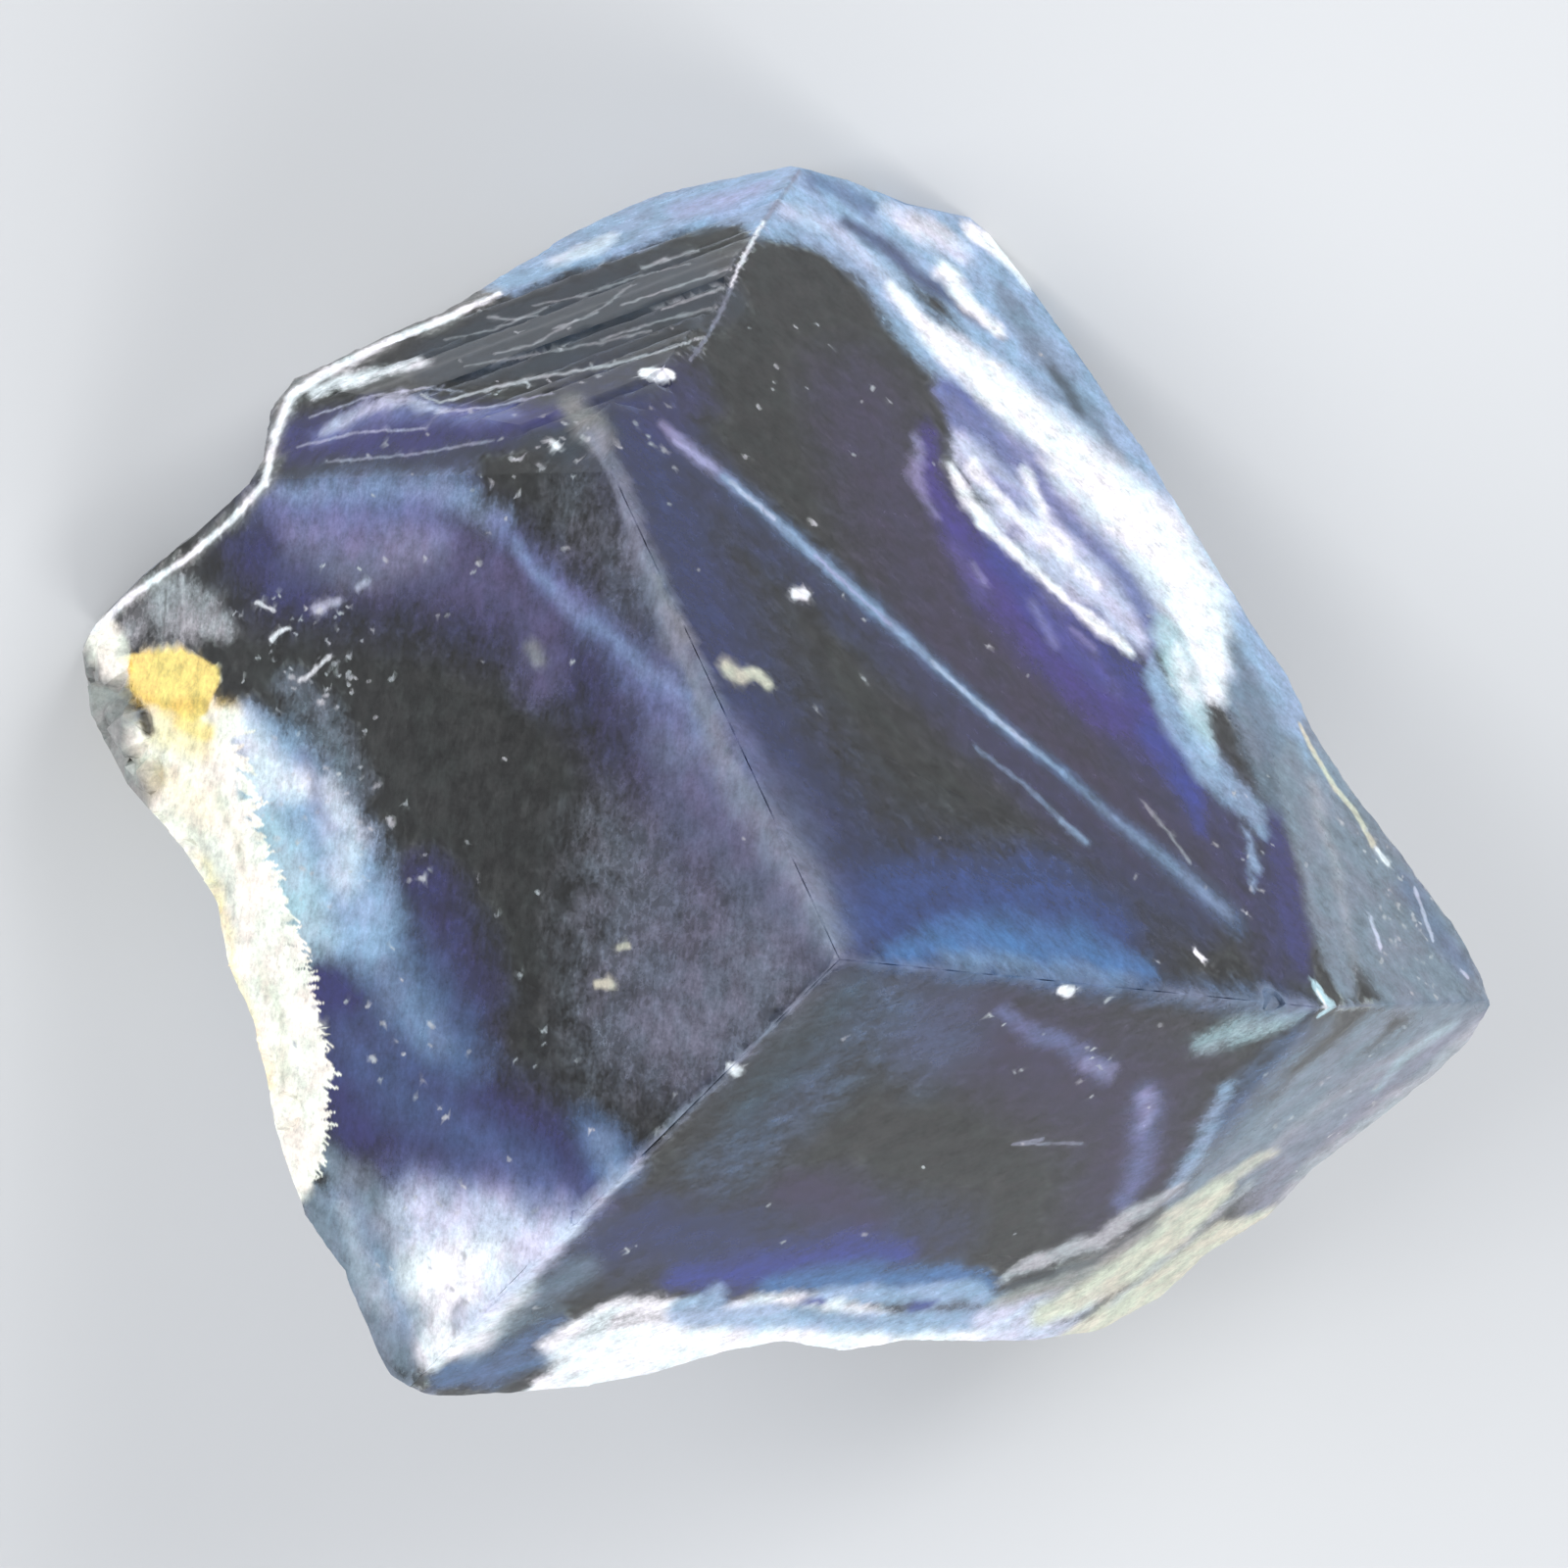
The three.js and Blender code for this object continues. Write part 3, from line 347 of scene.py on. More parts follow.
     (-5.6, 3.1, 0.31), (-4.9, 1.1, 0.34), (-4, -0.9, 0.45), (-2.9, -2.9, 0.5), (-2.2, -4.5, 0.39)),
    ("grey", 0.5, 0.9, (-6.5, 6, 0.14), (-6.1, 4.9, 0.22), (-5.8, 4.1, 0.14)),
    ("grey", 0.95, 0.3, (-24, 3, 1.29), (-23.5, 0.8, 1.29), (-22.3, -0.7, 1.01)),
    ("grey", 0.6, 0.9, (-23.6, 4.3, 0.25), (-22.3, 5.5, 0.25), (-20.3, 6.9, 0.22), (-18.8, 8.2, 0.22),
     (-17.7, 9.3, 0.22), (-17.3, 11.4, 0.25), (-16.8, 12.5, 0.28), (-15.6, 13.3, 0.28),
     (-13.5, 14.3, 0.28), (-11.5, 15.1, 0.28), (-9.6, 16.1, 0.2)),
    ("grey", 0.9, 0.4, (-23.5, 2.7, 0.56), (-23.3, 1, 0.56)),
    ("crust", 1, 0.4, (-23.4, 4.1, 0.56), (-22.9, 3, 0.5)),
    ("grey", 0.9, 0.5, (-23.6, 1.6, 0.5), (-22.7, 0.2, 0.56), (-21.7, -1.4, 0.62), (-20.7, -2.7, 0.45)),
    ("cream", 0.7, 0.9, (-22, 0, 0.39), (-21.2, -1.6, 0.39), (-20.4, -2.9, 0.28)),
    ("crust", 1, 0.15, (-21.1, 2.7, 1.18), (-20.3, 0.9, 1.34), (-19.9, -0.9, 1.23), (-20.1, -3, 1.85),
     (-19.3, -4.9, 1.85), (-19, -6.8, 1.96), (-18.2, -8.5, 1.79), (-17.8, -10.5, 1.54),
     (-17.4, -12.2, 1.12), (-16.9, -13.6, 0.34)),
    ("yellow", 0.6, 1, (-21.3, 1.2, 0.5), (-20.3, 0.9, 0.62), (-19.1, 1.6, 0.39)),
    ("yellow", 0.25, 1, (-21, -0.6, 0.62), (-20, -1.9, 0.62)),
    ("grey", 0.5, 0.9, (-22.9, 2.7, 0.22), (-23.1, 1.8, 0.22)),
    ("yellow", 0.4, 0.9, (-19.9, -3.5, 0.22), (-19, -6, 0.2), (-18.4, -8.5, 0.17), (-17.8, -10.7, 0.14)),
    ("grey", 0.35, 1, (-20.3, -2.1, 0.22), (-19.3, -4.1, 0.2), (-18.5, -6, 0.14)),
    ("cream", 0.6, 1, (-19.5, -0.9, 0.17), (-18.9, -2.5, 0.17), (-18.4, -4.2, 0.14)),
    ("cream", 0.6, 1, (-18.1, -6.7, 0.14), (-17.4, -8.7, 0.17), (-17.3, -10.8, 0.14)),
    # Last touches over the rest
    ("slate", 0.75, 0.8, (15, 2, 0.45), (15.3, 0.4, 0.56), (15.6, -1.2, 0.45)),
    ("frost", 0.45, 0.9, (15.1, 1.4, 0.22), (15.4, -0.5, 0.25)),
    ("pearl", 0.75, 0.9, (-9.2, -13.7, 0.25), (-10.7, -15.4, 0.31), (-12.1, -17, 0.34)),
    ("haze", 0.35, 0.9, (-7.1, 6.9, 0.39), (-5.6, 3.2, 0.34), (-4.8, 0.8, 0.28)),
    ("steel", 0.4, 1.3, (-0.4, -6.8, 1.12), (1.7, -7.8, 1.23)),
    ("steel", 0.35, 1.3, (-1.9, -9.1, 0.95), (-4.3, -11.5, 0.95)),
    ("pearl", 0.5, 1, (-11.8, -16.5, 0.5), (-9.6, -13.6, 0.34)),
    ("violet", 0.6, 0.9, (4.6, 8.8, 0.5), (5.6, 6, 0.84), (7.4, 3.8, 0.9), (9.6, 1.7, 0.62)),
    ("royal", 0.45, 0.9, (6.2, 7, 0.34), (7.9, 4.4, 0.5), (9.5, 2.8, 0.39)),
    ("iris", 0.3, 1.2, (-16.7, 8.3, 0.67), (-13.7, 8.6, 0.67), (-12.3, 7.6, 0.39)),
]

# Fine lines, chips and flecks, in the same terms
FINE_STROKES = [
    ("crust", 0.9, 0.4, (-21.65, 0.61, 0.67), (-20.33, 0.4, 0.73), (-19.16, 1.27, 0.5)),
    ("yellow", 1, 0.15, (-21.68, 3.02, 0.62), (-20.77, 3.1, 0.67), (-19.86, 2.79, 0.53),
     (-20.12, 1.89, 0.48)),
    ("yellow", 1, 0.3, (-21.65, 2.28, 0.5), (-20.81, 2.1, 0.56), (-20.32, 1.65, 0.39)),
    ("yellow", 0.8, 0.5, (-20.49, 1.22, 0.39), (-19.84, 0.91, 0.34)),
    ("yellow", 0.5, 0.9, (-21.15, 0.76, 0.5), (-20.07, 0.41, 0.5)),
    ("yellow", 1, 0.3, (-22.18, 3.28, 0.25), (-22.12, 2.33, 0.25)),
    ("orange", 0.4, 1, (-22.05, 1.93, 0.2), (-21.15, 1.63, 0.22), (-19.99, 1.86, 0.22)),
    ("soot", 0.9, 0.5, (-21.85, 1.34, 0.2), (-21.75, 0.88, 0.22)),
    ("soot", 0.35, 1, (-19.83, 1.9, 0.11), (-19.61, 1.25, 0.11)),
    ("white", 0.95, 0.6, (-23.68, 4.24, 0.11), (-22.37, 5.44, 0.13), (-20.29, 6.85, 0.1),
     (-18.81, 8.13, 0.1), (-17.81, 9.26, 0.11)),
    ("white", 0.95, 0.6, (-17.81, 9.26, 0.11), (-17.37, 11.03, 0.14), (-16.81, 12.33, 0.17),
     (-15.59, 13.17, 0.17), (-13.54, 14.23, 0.14), (-11.5, 15.06, 0.14), (-9.6, 15.99, 0.08)),
    ("lilac", 0.55, 1, (-5.59, 10.89, 0.14), (-4.73, 10.09, 0.22), (-3.92, 9.47, 0.22),
     (-3.11, 8.8, 0.17)),
    ("lilac", 0.6, 0.9, (-5.21, 10.39, 0.08), (-4.36, 9.78, 0.11), (-3.32, 9.05, 0.08)),
    ("steel", 0.6, 1, (-3.63, 9.26, 0.25), (-2.24, 8.09, 0.31), (-0.69, 6.7, 0.34), (0.85, 5.3, 0.34),
     (2.4, 3.91, 0.28), (3.94, 2.48, 0.25), (5.5, 1.11, 0.25), (7.12, -0.09, 0.22)),
    ("ice", 0.7, 1, (-3.63, 9.26, 0.11), (-2.24, 8.09, 0.14), (-0.69, 6.7, 0.17), (0.85, 5.3, 0.17),
     (2.4, 3.91, 0.14), (3.94, 2.48, 0.11), (5.5, 1.11, 0.11), (7.12, -0.09, 0.08)),
    ("steel", 0.55, 1, (7.12, -0.09, 0.22), (8.67, -1.53, 0.25), (10.28, -2.79, 0.34),
     (11.56, -3.84, 0.39), (12.65, -4.87, 0.39)),
    ("ice", 0.35, 1, (7.12, -0.09, 0.11), (8.67, -1.53, 0.11), (10.28, -2.79, 0.17), (11.56, -3.84, 0.2),
     (12.51, -4.69, 0.17)),
    ("ice", 0.35, 0.9, (3.98, 0.74, 0.08), (5.51, -0.38, 0.08), (6.72, -1.55, 0.08)),
    ("ice", 0.6, 0.9, (6.72, -1.55, 0.08), (7.46, -2.22, 0.11)),
    ("silver", 0.35, 0.8, (10.15, -1.24, 0.06), (10.87, -2.17, 0.06), (11.41, -3.03, 0.06)),
    ("haze", 0.75, 0.7, (1.13, 20.48, 0.08), (0.03, 19.15, 0.08), (-1.19, 17.63, 0.08),
     (-2.04, 16.41, 0.07), (-2.72, 15.12, 0.07), (-3.52, 13.97, 0.07), (-4.29, 13.11, 0.08)),
    ("white", 0.7, 0.6, (-0.63, 18.38, 0.06), (-1.63, 17.05, 0.07), (-2.35, 15.85, 0.06)),
    ("silver", 0.8, 0.9, (-12.87, 12.27, 0.04), (-12.15, 11.83, 0.04), (-10.39, 12.34, 0.06),
     (-8.55, 12.71, 0.06), (-6.75, 12.98, 0.06), (-5.28, 13.37, 0.04), (-3.63, 13.96, 0.04)),
    ("silver", 0.5, 0.8, (-5.92, 15.24, 0.04), (-3.96, 15.89, 0.04), (-2.25, 16.5, 0.06)),
    ("silver", 0.6, 0.8, (-4.81, 16.75, 0.07), (-4.04, 17.02, 0.08)),
    ("silver", 0.5, 0.8, (-4.01, 17.02, 0.06), (-3.01, 17.31, 0.06)),
    ("silver", 0.5, 0.8, (-4.72, 15.01, 0.04), (-2.62, 15.76, 0.05)),
    ("silver", 0.4, 0.8, (-8.22, 14.41, 0.04), (-6.9, 14.91, 0.04), (-5.42, 16.01, 0.04)),
    ("haze", 0.6, 1, (-7.99, 10.53, 0.08), (-7.42, 8.7, 0.08), (-6.75, 6.74, 0.11), (-6.17, 4.88, 0.14),
     (-5.55, 3.07, 0.11)),
    ("haze", 0.5, 1, (-5.55, 3.07, 0.11), (-4.85, 1.07, 0.11), (-3.84, -1.02, 0.14),
     (-2.93, -2.92, 0.14), (-2.14, -4.66, 0.14)),
    ("haze", 0.4, 1, (-2.28, -5.09, 0.08), (-4.37, -7.76, 0.08), (-6.13, -10.08, 0.08),
     (-7.43, -11.71, 0.08)),
    ("pearl", 0.45, 1, (-7.43, -11.71, 0.08), (-9.59, -14.27, 0.08), (-11.82, -16.85, 0.08)),
    ("pearl", 0.4, 0.9, (-16.69, 10.48, 0.04), (-14.81, 10.91, 0.04), (-12.7, 10.94, 0.04)),
    ("pearl", 0.35, 0.9, (-16.27, 11.5, 0.04), (-14.43, 12.13, 0.04), (-12.54, 12.41, 0.04),
     (-11.33, 12.22, 0.04)),
    ("pearl", 0.3, 0.9, (-15.78, 9.93, 0.04), (-13.06, 10.09, 0.04), (-10.71, 10.46, 0.04)),
    ("pearl", 0.4, 0.9, (-12.34, 11.48, 0.04), (-10.55, 11.64, 0.04), (-8.72, 12.02, 0.04)),
    ("silver", 0.35, 0.9, (-11.2, 13.16, 0.04), (-9.31, 13.45, 0.04), (-7.12, 13.8, 0.04),
     (-5.22, 14.23, 0.04)),
    ("silver", 0.35, 0.9, (-8.57, 15.46, 0.04), (-6.99, 15.73, 0.04), (-4.99, 16.41, 0.04),
     (-3.42, 16.75, 0.04)),
    ("silver", 0.4, 0.9, (-6.79, 13.96, 0.04), (-4.86, 14.58, 0.04), (-2.99, 15.03, 0.04)),
    ("silver", 0.35, 0.9, (-11.61, 14.26, 0.04), (-10.01, 14.54, 0.04), (-8.16, 15.33, 0.04)),
    ("silver", 0.4, 0.8, (-10.21, 13.56, 0.04), (-8.93, 13.87, 0.04), (-7.39, 14.74, 0.04)),
    ("silver", 0.4, 0.8, (-10.06, 15.06, 0.06), (-9.17, 14.88, 0.04), (-8.52, 15.04, 0.04)),
    ("white", 1, 0.3, (-5.86, 12.6, 0.2), (-5.45, 12.57, 0.22), (-5.08, 12.57, 0.17)),
    ("white", 0.9, 0.5, (-1.68, 5.58, 0.17), (-1.34, 5.52, 0.17)),
    ("cream", 0.85, 0.7, (-4.45, 3.36, 0.22), (-4.03, 3.06, 0.2), (-3.54, 3.22, 0.17),
     (-3.13, 2.84, 0.17)),
    ("white", 1, 0.4, (5.58, -6.36, 0.17), (5.83, -6.41, 0.2)),
    ("white", 0.9, 0.4, (10.82, -5.63, 0.08), (11.02, -5.87, 0.11)),
    ("cyan", 1, 0.35, (15.36, -6.96, 0.14), (15.56, -7.38, 0.17), (15.91, -7.62, 0.14),
     (15.46, -7.92, 0.11)),
    ("white", 0.8, 0.5, (15.37, -7.16, 0.06), (15.63, -7.65, 0.06)),
    ("white", 0.8, 0.6, (-4.88, -8.2, 0.08), (-4.62, -8.4, 0.17)),
    ("cream", 0.8, 0.6, (-8.26, -6.23, 0.11), (-7.94, -6.2, 0.17)),
    ("cream", 0.7, 0.6, (-7.63, -5.09, 0.11), (-7.42, -5.01, 0.11)),
    ("white", 0.7, 0.7, (-18.1, 5.28, 0.08), (-17.78, 5.12, 0.06), (-17.57, 4.99, 0.06)),
    ("white", 0.8, 0.7, (-17.64, 4.01, 0.08), (-17.38, 4.31, 0.08), (-17.07, 4.41, 0.06)),
    ("white", 0.6, 0.7, (-16.75, 2.7, 0.08), (-16.31, 3, 0.08), (-15.82, 3.53, 0.06)),
    ("pearl", 0.5, 0.8, (-16.17, 5.07, 0.17), (-15.55, 5.32, 0.14)),
    ("pearl", 0.5, 0.8, (-14.88, 5.77, 0.11), (-14.64, 5.96, 0.11)),
    ("white", 0.8, 0.6, (-9.03, 10.33, 0.11), (-8.93, 10.18, 0.11)),
    ("grey", 0.5, 0.8, (-9.8, 3.88, 0.22), (-9.67, 3.52, 0.2)),
    ("cream", 0.9, 0.5, (17.72, 1.04, 0.08), (18.1, 0.04, 0.11), (18.68, -1.18, 0.11),
     (19.34, -1.96, 0.11), (19.74, -3, 0.14)),
    ("white", 0.8, 0.6, (19.9, -3.2, 0.11), (20.2, -3.66, 0.11)),
    ("pearl", 0.7, 0.6, (21.22, -4.52, 0.08), (21.33, -5.62, 0.08), (21.37, -6.18, 0.08)),
    ("pearl", 0.7, 0.6, (18.7, -5.25, 0.08), (18.79, -6.16, 0.08)),
    ("pearl", 0.7, 0.6, (22.45, -7.32, 0.08), (22.59, -7.45, 0.08)),
    ("haze", 0.7, 0.7, (8.05, -12.14, 0.06), (5.5, -11.93, 0.06), (6.54, -11.84, 0.06)),
    ("soot", 0.5, 0.8, (-21.12, 5.71, 0.04), (-21.2, 4.03, 0.04)),
    ("silver", 0.6, 0.8, (-20.56, 6.22, 0.06), (-20.5, 4.38, 0.06)),
    ("pearl", 0.5, 0.9, (-3.45, 9.11, 0.07), (-2.77, 8.52, 0.07), (-2.05, 7.94, 0.07)),
    ("lilac", 0.5, 0.9, (-0.75, 6.76, 0.07), (0.42, 5.68, 0.07), (1.62, 4.59, 0.07)),
    ("pearl", 0.35, 0.9, (2.92, 3.41, 0.07), (3.94, 2.48, 0.07), (4.94, 1.61, 0.07), (5.99, 0.76, 0.07)),
    ("lilac", 0.3, 1, (5.28, 6.52, 0.11), (5.54, 5.97, 0.14)),
    ("lilac", 0.25, 1, (7.34, 5.22, 0.17), (7.88, 3.94, 0.2)),
    ("lilac", 0.25, 1, (8.74, 4.41, 0.11), (9.45, 3.76, 0.14)),
]

# Inner edge of the white crust, and the run of the small teeth along it
CRUST_TEETH = 96
CRUST_EDGE = [
    (-18.8, 1.3), (-18.4, -0.8), (-18.0, -2.7), (-17.4, -4.4), (-16.8, -6.3), (-16.4, -8.1),
    (-16.1, -9.8), (-16.2, -11.7), (-16.6, -13.4),
]
TOOTH_CROWDING = 0.75
TOOTH_HEADINGS = (-45, 25)
TOOTH_REACH = (0.05, 0.25)
LONG_TOOTH = 0.35
TOOTH_ROOT = 0.35
TOOTH_RADII = (0.13, 0.09, 0.02)


def tooth_strokes():
    """Short white needles that point inwards from the crust."""
    draw = random.Random(5)
    edge = [Vector(point) for point in CRUST_EDGE]
    teeth = []
    for number in range(CRUST_TEETH):
        place = ((number + draw.random()) / CRUST_TEETH) ** TOOTH_CROWDING * (len(edge) - 1)
        index = min(int(place), len(edge) - 2)
        start = edge[index].lerp(edge[index + 1], place - index)
        heading = math.radians(draw.uniform(*TOOTH_HEADINGS))
        inward = Vector((math.cos(heading), math.sin(heading)))
        reach = draw.uniform(*TOOTH_REACH) + LONG_TOOTH * draw.random() ** 2
        places = (start - inward * TOOTH_ROOT, start, start + inward * reach)
        line = [(*place, radius) for place, radius in zip(places, TOOTH_RADII)]
        teeth.append(("crust", 1.0, 0.3, *line))
    return teeth


# Loose flecks over the whole stone, and swarms of them as (x, y, spread, count)
FLECK_COUNT = 90
FLECK_SPREAD = 17.0
FLECK_RADIUS = 0.035
FLECK_GROWTH = 0.05
FLECK_LENGTH = 0.06
FLECK_SLIP = 0.08
FLECK_COVER = (0.35, 0.9)
FLECK_SWARMS = [
    (-16.9, 4.1, 1.0, 26), (-15.4, 2.8, 0.7, 16), (-9.9, 10.4, 1.0, 20), (-6.3, 10.9, 1.1, 12),
    (-13.7, 7.0, 2.0, 14), (0.1, 12.9, 1.4, 10), (13.6, -3.8, 1.1, 8), (20.4, -5.2, 0.8, 12),
    (7.1, -9.1, 1.4, 12), (-8.5, 12.7, 1.7, 14), (-16.8, -0.4, 1.3, 26), (-14.9, -3.1, 1.4, 22),
    (-13.1, -8.5, 1.7, 18), (-12.6, -15.0, 1.5, 30), (19.6, -3.6, 1.1, 12), (18.1, -11.6, 1.4, 14),
    (19.9, -6.4, 0.8, 20),
]


def fleck_strokes():
    """Tiny white flecks, scattered."""
    draw = random.Random(11)

    def anywhere():
        return draw.uniform(-FLECK_SPREAD, FLECK_SPREAD)

    places = [(anywhere(), anywhere()) for _ in range(FLECK_COUNT)]
    for x, y, spread, count in FLECK_SWARMS:
        places += [(draw.gauss(x, spread), draw.gauss(y, spread)) for _ in range(count)]
    flecks = []
    for x, y in places:
        radius = FLECK_RADIUS + FLECK_GROWTH * draw.random() ** 3
        slip = draw.uniform(-FLECK_SLIP, FLECK_SLIP)
        cover = draw.uniform(*FLECK_COVER)
        end = (x + FLECK_LENGTH, y + slip, radius)
        flecks.append(("silver", cover, 0.5, (x, y, radius), end))
    return flecks


FINE_STROKES += tooth_strokes() + fleck_strokes()

# Mesh fineness: front faces, broken faces, and around the fine strokes
FRONT_STEP = 0.31 * MM
BROKEN_STEP = 0.42 * MM
LINE_STEP = 0.085 * MM
LINE_MARGIN = 0.06
BOX_MARGIN = 0.4
# Cube edges that are worn: how far, how long they are, and how sharp
EDGE_WEAR = 0.07 * MM
WORN_LENGTH = 1.5 * MM
WORN_ANGLE = math.radians(80)
CRISP_ANGLE = math.radians(14)
# How closely a face's normal follows a flat face's, as a cosine
FLAT_MATCH = 0.97
BASE_MATCH = 0.99
CUBE_MATCH = 0.999
# What counts as one point, as no edge at all, and as one flat face
WELD_GAP = 1e-7
SHORTEST_EDGE = 2e-6
LEVEL_ANGLE = math.radians(0.15)
# A sliver's area as a share of its longest side squared, and the bend it may lie on
SLIVER_SHARE = 0.01
SLIVER_BEND = 0.5
SLIVER_ROUNDS = 6


def stroke_gap(places, points):
    """Distance from a stroke's line in units of its radius."""
    points = np.array(points, float)
    best = np.full(len(places), 99.0)
    for start, end in zip(points[:-1], points[1:]):
        span = end[:2] - start[:2]
        share = np.clip((places - start[:2]) @ span / max(span @ span, 1e-9), 0, 1)
        gap = np.hypot(*(places - start[:2] - share[:, None] * span).T)
        best = np.minimum(best, gap / (start[2] + share * (end[2] - start[2])))
    return best


def stroke_boxes(strokes, margin):
    """Low and high corners of each stroke's box, with a margin."""
    low, high = [], []
    for _, _, _, *points in strokes:
        rows = np.array(points)
        low.append(rows[:, :2].min(0) - margin)
        high.append(rows[:, :2].max(0) + margin)
    return np.array(low), np.array(high)


FINE_LOW, FINE_HIGH = stroke_boxes(FINE_STROKES, BOX_MARGIN)


def near_fine_stroke(places):
    """Which places lie on or beside a fine stroke."""
    near = np.zeros(len(places), bool)
    touched = (FINE_LOW < places.max(0)).all(1) & (FINE_HIGH > places.min(0)).all(1)
    for number in np.flatnonzero(touched):
        points = FINE_STROKES[number][3:]
        inside = (places > FINE_LOW[number]) & (places < FINE_HIGH[number])
        inside = np.flatnonzero(inside[:, 0] & inside[:, 1])
        if len(inside):
            radius = max(point[2] for point in points)
            gap = stroke_gap(places[inside], [(x, y, 1) for x, y, _ in points])
            near[inside[gap < radius + LINE_MARGIN]] = True
    return near


def hex_grid(low, high, step):
    rows = np.arange(low[1] + step / 2, high[1], step * math.sqrt(3) / 2)
    cells = []
    for number, y in enumerate(rows):
        across = np.arange(low[0] + step * (0.5 + 0.5 * (number % 2)), high[0], step)
        cells.append(np.column_stack([across, np.full(len(across), y)]))
    return np.concatenate(cells) if cells else np.zeros((0, 2))


def inside_outline(points, outline, clearance):
    """Which points lie inside an outline and clear of its border."""
    inside = np.zeros(len(points), bool)
    nearest = np.full(len(points), 1e9)
    for start, end in zip(outline, np.roll(outline, -1, axis=0)):
        span = end - start
        share = np.clip(((points - start) @ span) / max(span @ span, 1e-18), 0, 1)
        nearest = np.minimum(nearest, np.hypot(*(points - start - share[:, None] * span).T))
        crosses = (start[1] > points[:, 1]) != (end[1] > points[:, 1])
        if span[1] != 0:
            at = start[0] + (points[:, 1] - start[1]) * span[0] / span[1]
            inside ^= crosses & (points[:, 0] < at)
    return inside & (nearest > clearance)


def fill_flat_face(mesh, face, step, detailed):
    """Replaces a flat face by even triangles that keep its border points."""
    normal = face.normal.copy()
    origin = face.verts[0].co.copy()
    across = normal.orthogonal().normalized()
    up = normal.cross(across)
    corners = list(face.verts)
    flat = [Vector(((v.co - origin).dot(across), (v.co - origin).dot(up))) for v in corners]
    outline = np.array([list(point) for point in flat])
    ahead = np.roll(outline, -1, axis=0) - outline
    back = outline - np.roll(outline, 1, axis=0)
    turn = np.abs(ahead[:, 0] * back[:, 1] - ahead[:, 1] * back[:, 0])
    bent = turn > 1e-4 * np.hypot(*ahead.T) * np.hypot(*back.T)
    if bent.sum() > 2:
        outline = outline[bent]
    low, high = outline.min(0), outline.max(0)
    inner = []
    if min(high - low) > step:
        points = hex_grid(low, high, step)
        points = points[inside_outline(points, outline, step * 0.55)]
        inner = [Vector(point) for point in points]
    if detailed and min(high - low) > LINE_STEP:
        points = hex_grid(low, high, LINE_STEP)
        lift = np.outer(points[:, 0], across) + np.outer(points[:, 1], up) + np.array(origin)
        points = points[near_fine_stroke(lift[:, :2] / MM)]
        if len(points):
            points = points[inside_outline(points, outline, LINE_STEP * 0.5)]
            inner += [Vector(point) for point in points]
    if len(corners) == 3 and not inner:
        return
    border = list(range(len(corners)))
    made = geometry.delaunay_2d_cdt([point / MM for point in flat + inner], [], [border], 1, 1e-9)
    places, _, faces, sources = made[:4]
    if not faces:
        bmesh.ops.triangulate(mesh, faces=[face])
        return
    verts = []
    for place, source in zip(places, sources):
        old = [index for index in source if index < len(corners)]
        if old:
            verts.append(corners[old[0]])
        else:
            place = place * MM
            verts.append(mesh.verts.new(origin + across * place[0] + up * place[1]))
    mesh.faces.remove(face)
    for triangle in faces:
        loop = [verts[index] for index in triangle]
        if len(set(loop)) == 3:
            mesh.faces.new(loop)


def split_long_edges(mesh, step_of):
    for edge in list(mesh.edges):
        step = min(step_of(face) for face in edge.link_faces)
        cuts = int(round(edge.calc_length() / step)) - 1
        start = edge.verts[0]
        for left in range(cuts, 0, -1):
            start = bmesh.utils.edge_split(edge, start, 1 / (left + 1))[1]


def close_slits(mesh):
    """Fills what a face leaves open where its border doubles back on itself."""
    slits = [edge for edge in mesh.edges if edge.is_boundary]
    made = bmesh.ops.holes_fill(mesh, edges=slits, sides=0)
    bmesh.ops.triangulate(mesh, faces=made["faces"])


def turn_slivers(mesh):
    """Turns the long edge of each flat sliver, which shares out its corners."""
    for _ in range(SLIVER_ROUNDS):
        thin = []
        for face in mesh.faces:
            longest = max(edge.calc_length() for edge in face.edges)
            if face.calc_area() < SLIVER_SHARE * longest * longest:
                thin.append(face)
        for face in thin:
            if face.is_valid:
                edge = max(face.edges, key=lambda side: side.calc_length())
                if len(edge.link_faces) == 2 and edge.calc_face_angle(0) < SLIVER_BEND:
                    bmesh.utils.edge_rotate(edge)


def is_front(face):
    normal = TO_EDGES @ np.array(face.normal)
    return (FRONT_NORMALS @ normal).max() > FLAT_MATCH


def is_base(face):
    return face.normal.z < -BASE_MATCH


def worn_edges(mesh):
    """The long edges between two cube faces, which handling has dulled."""
    found = []
    for edge in mesh.edges:
        if edge.calc_length() > WORN_LENGTH and edge.calc_face_angle(0) > WORN_ANGLE:
            sides = [TO_EDGES @ np.array(face.normal) for face in edge.link_faces]
            if all(side.min() < -CUBE_MATCH for side in sides):
                found.append(edge)
    return found


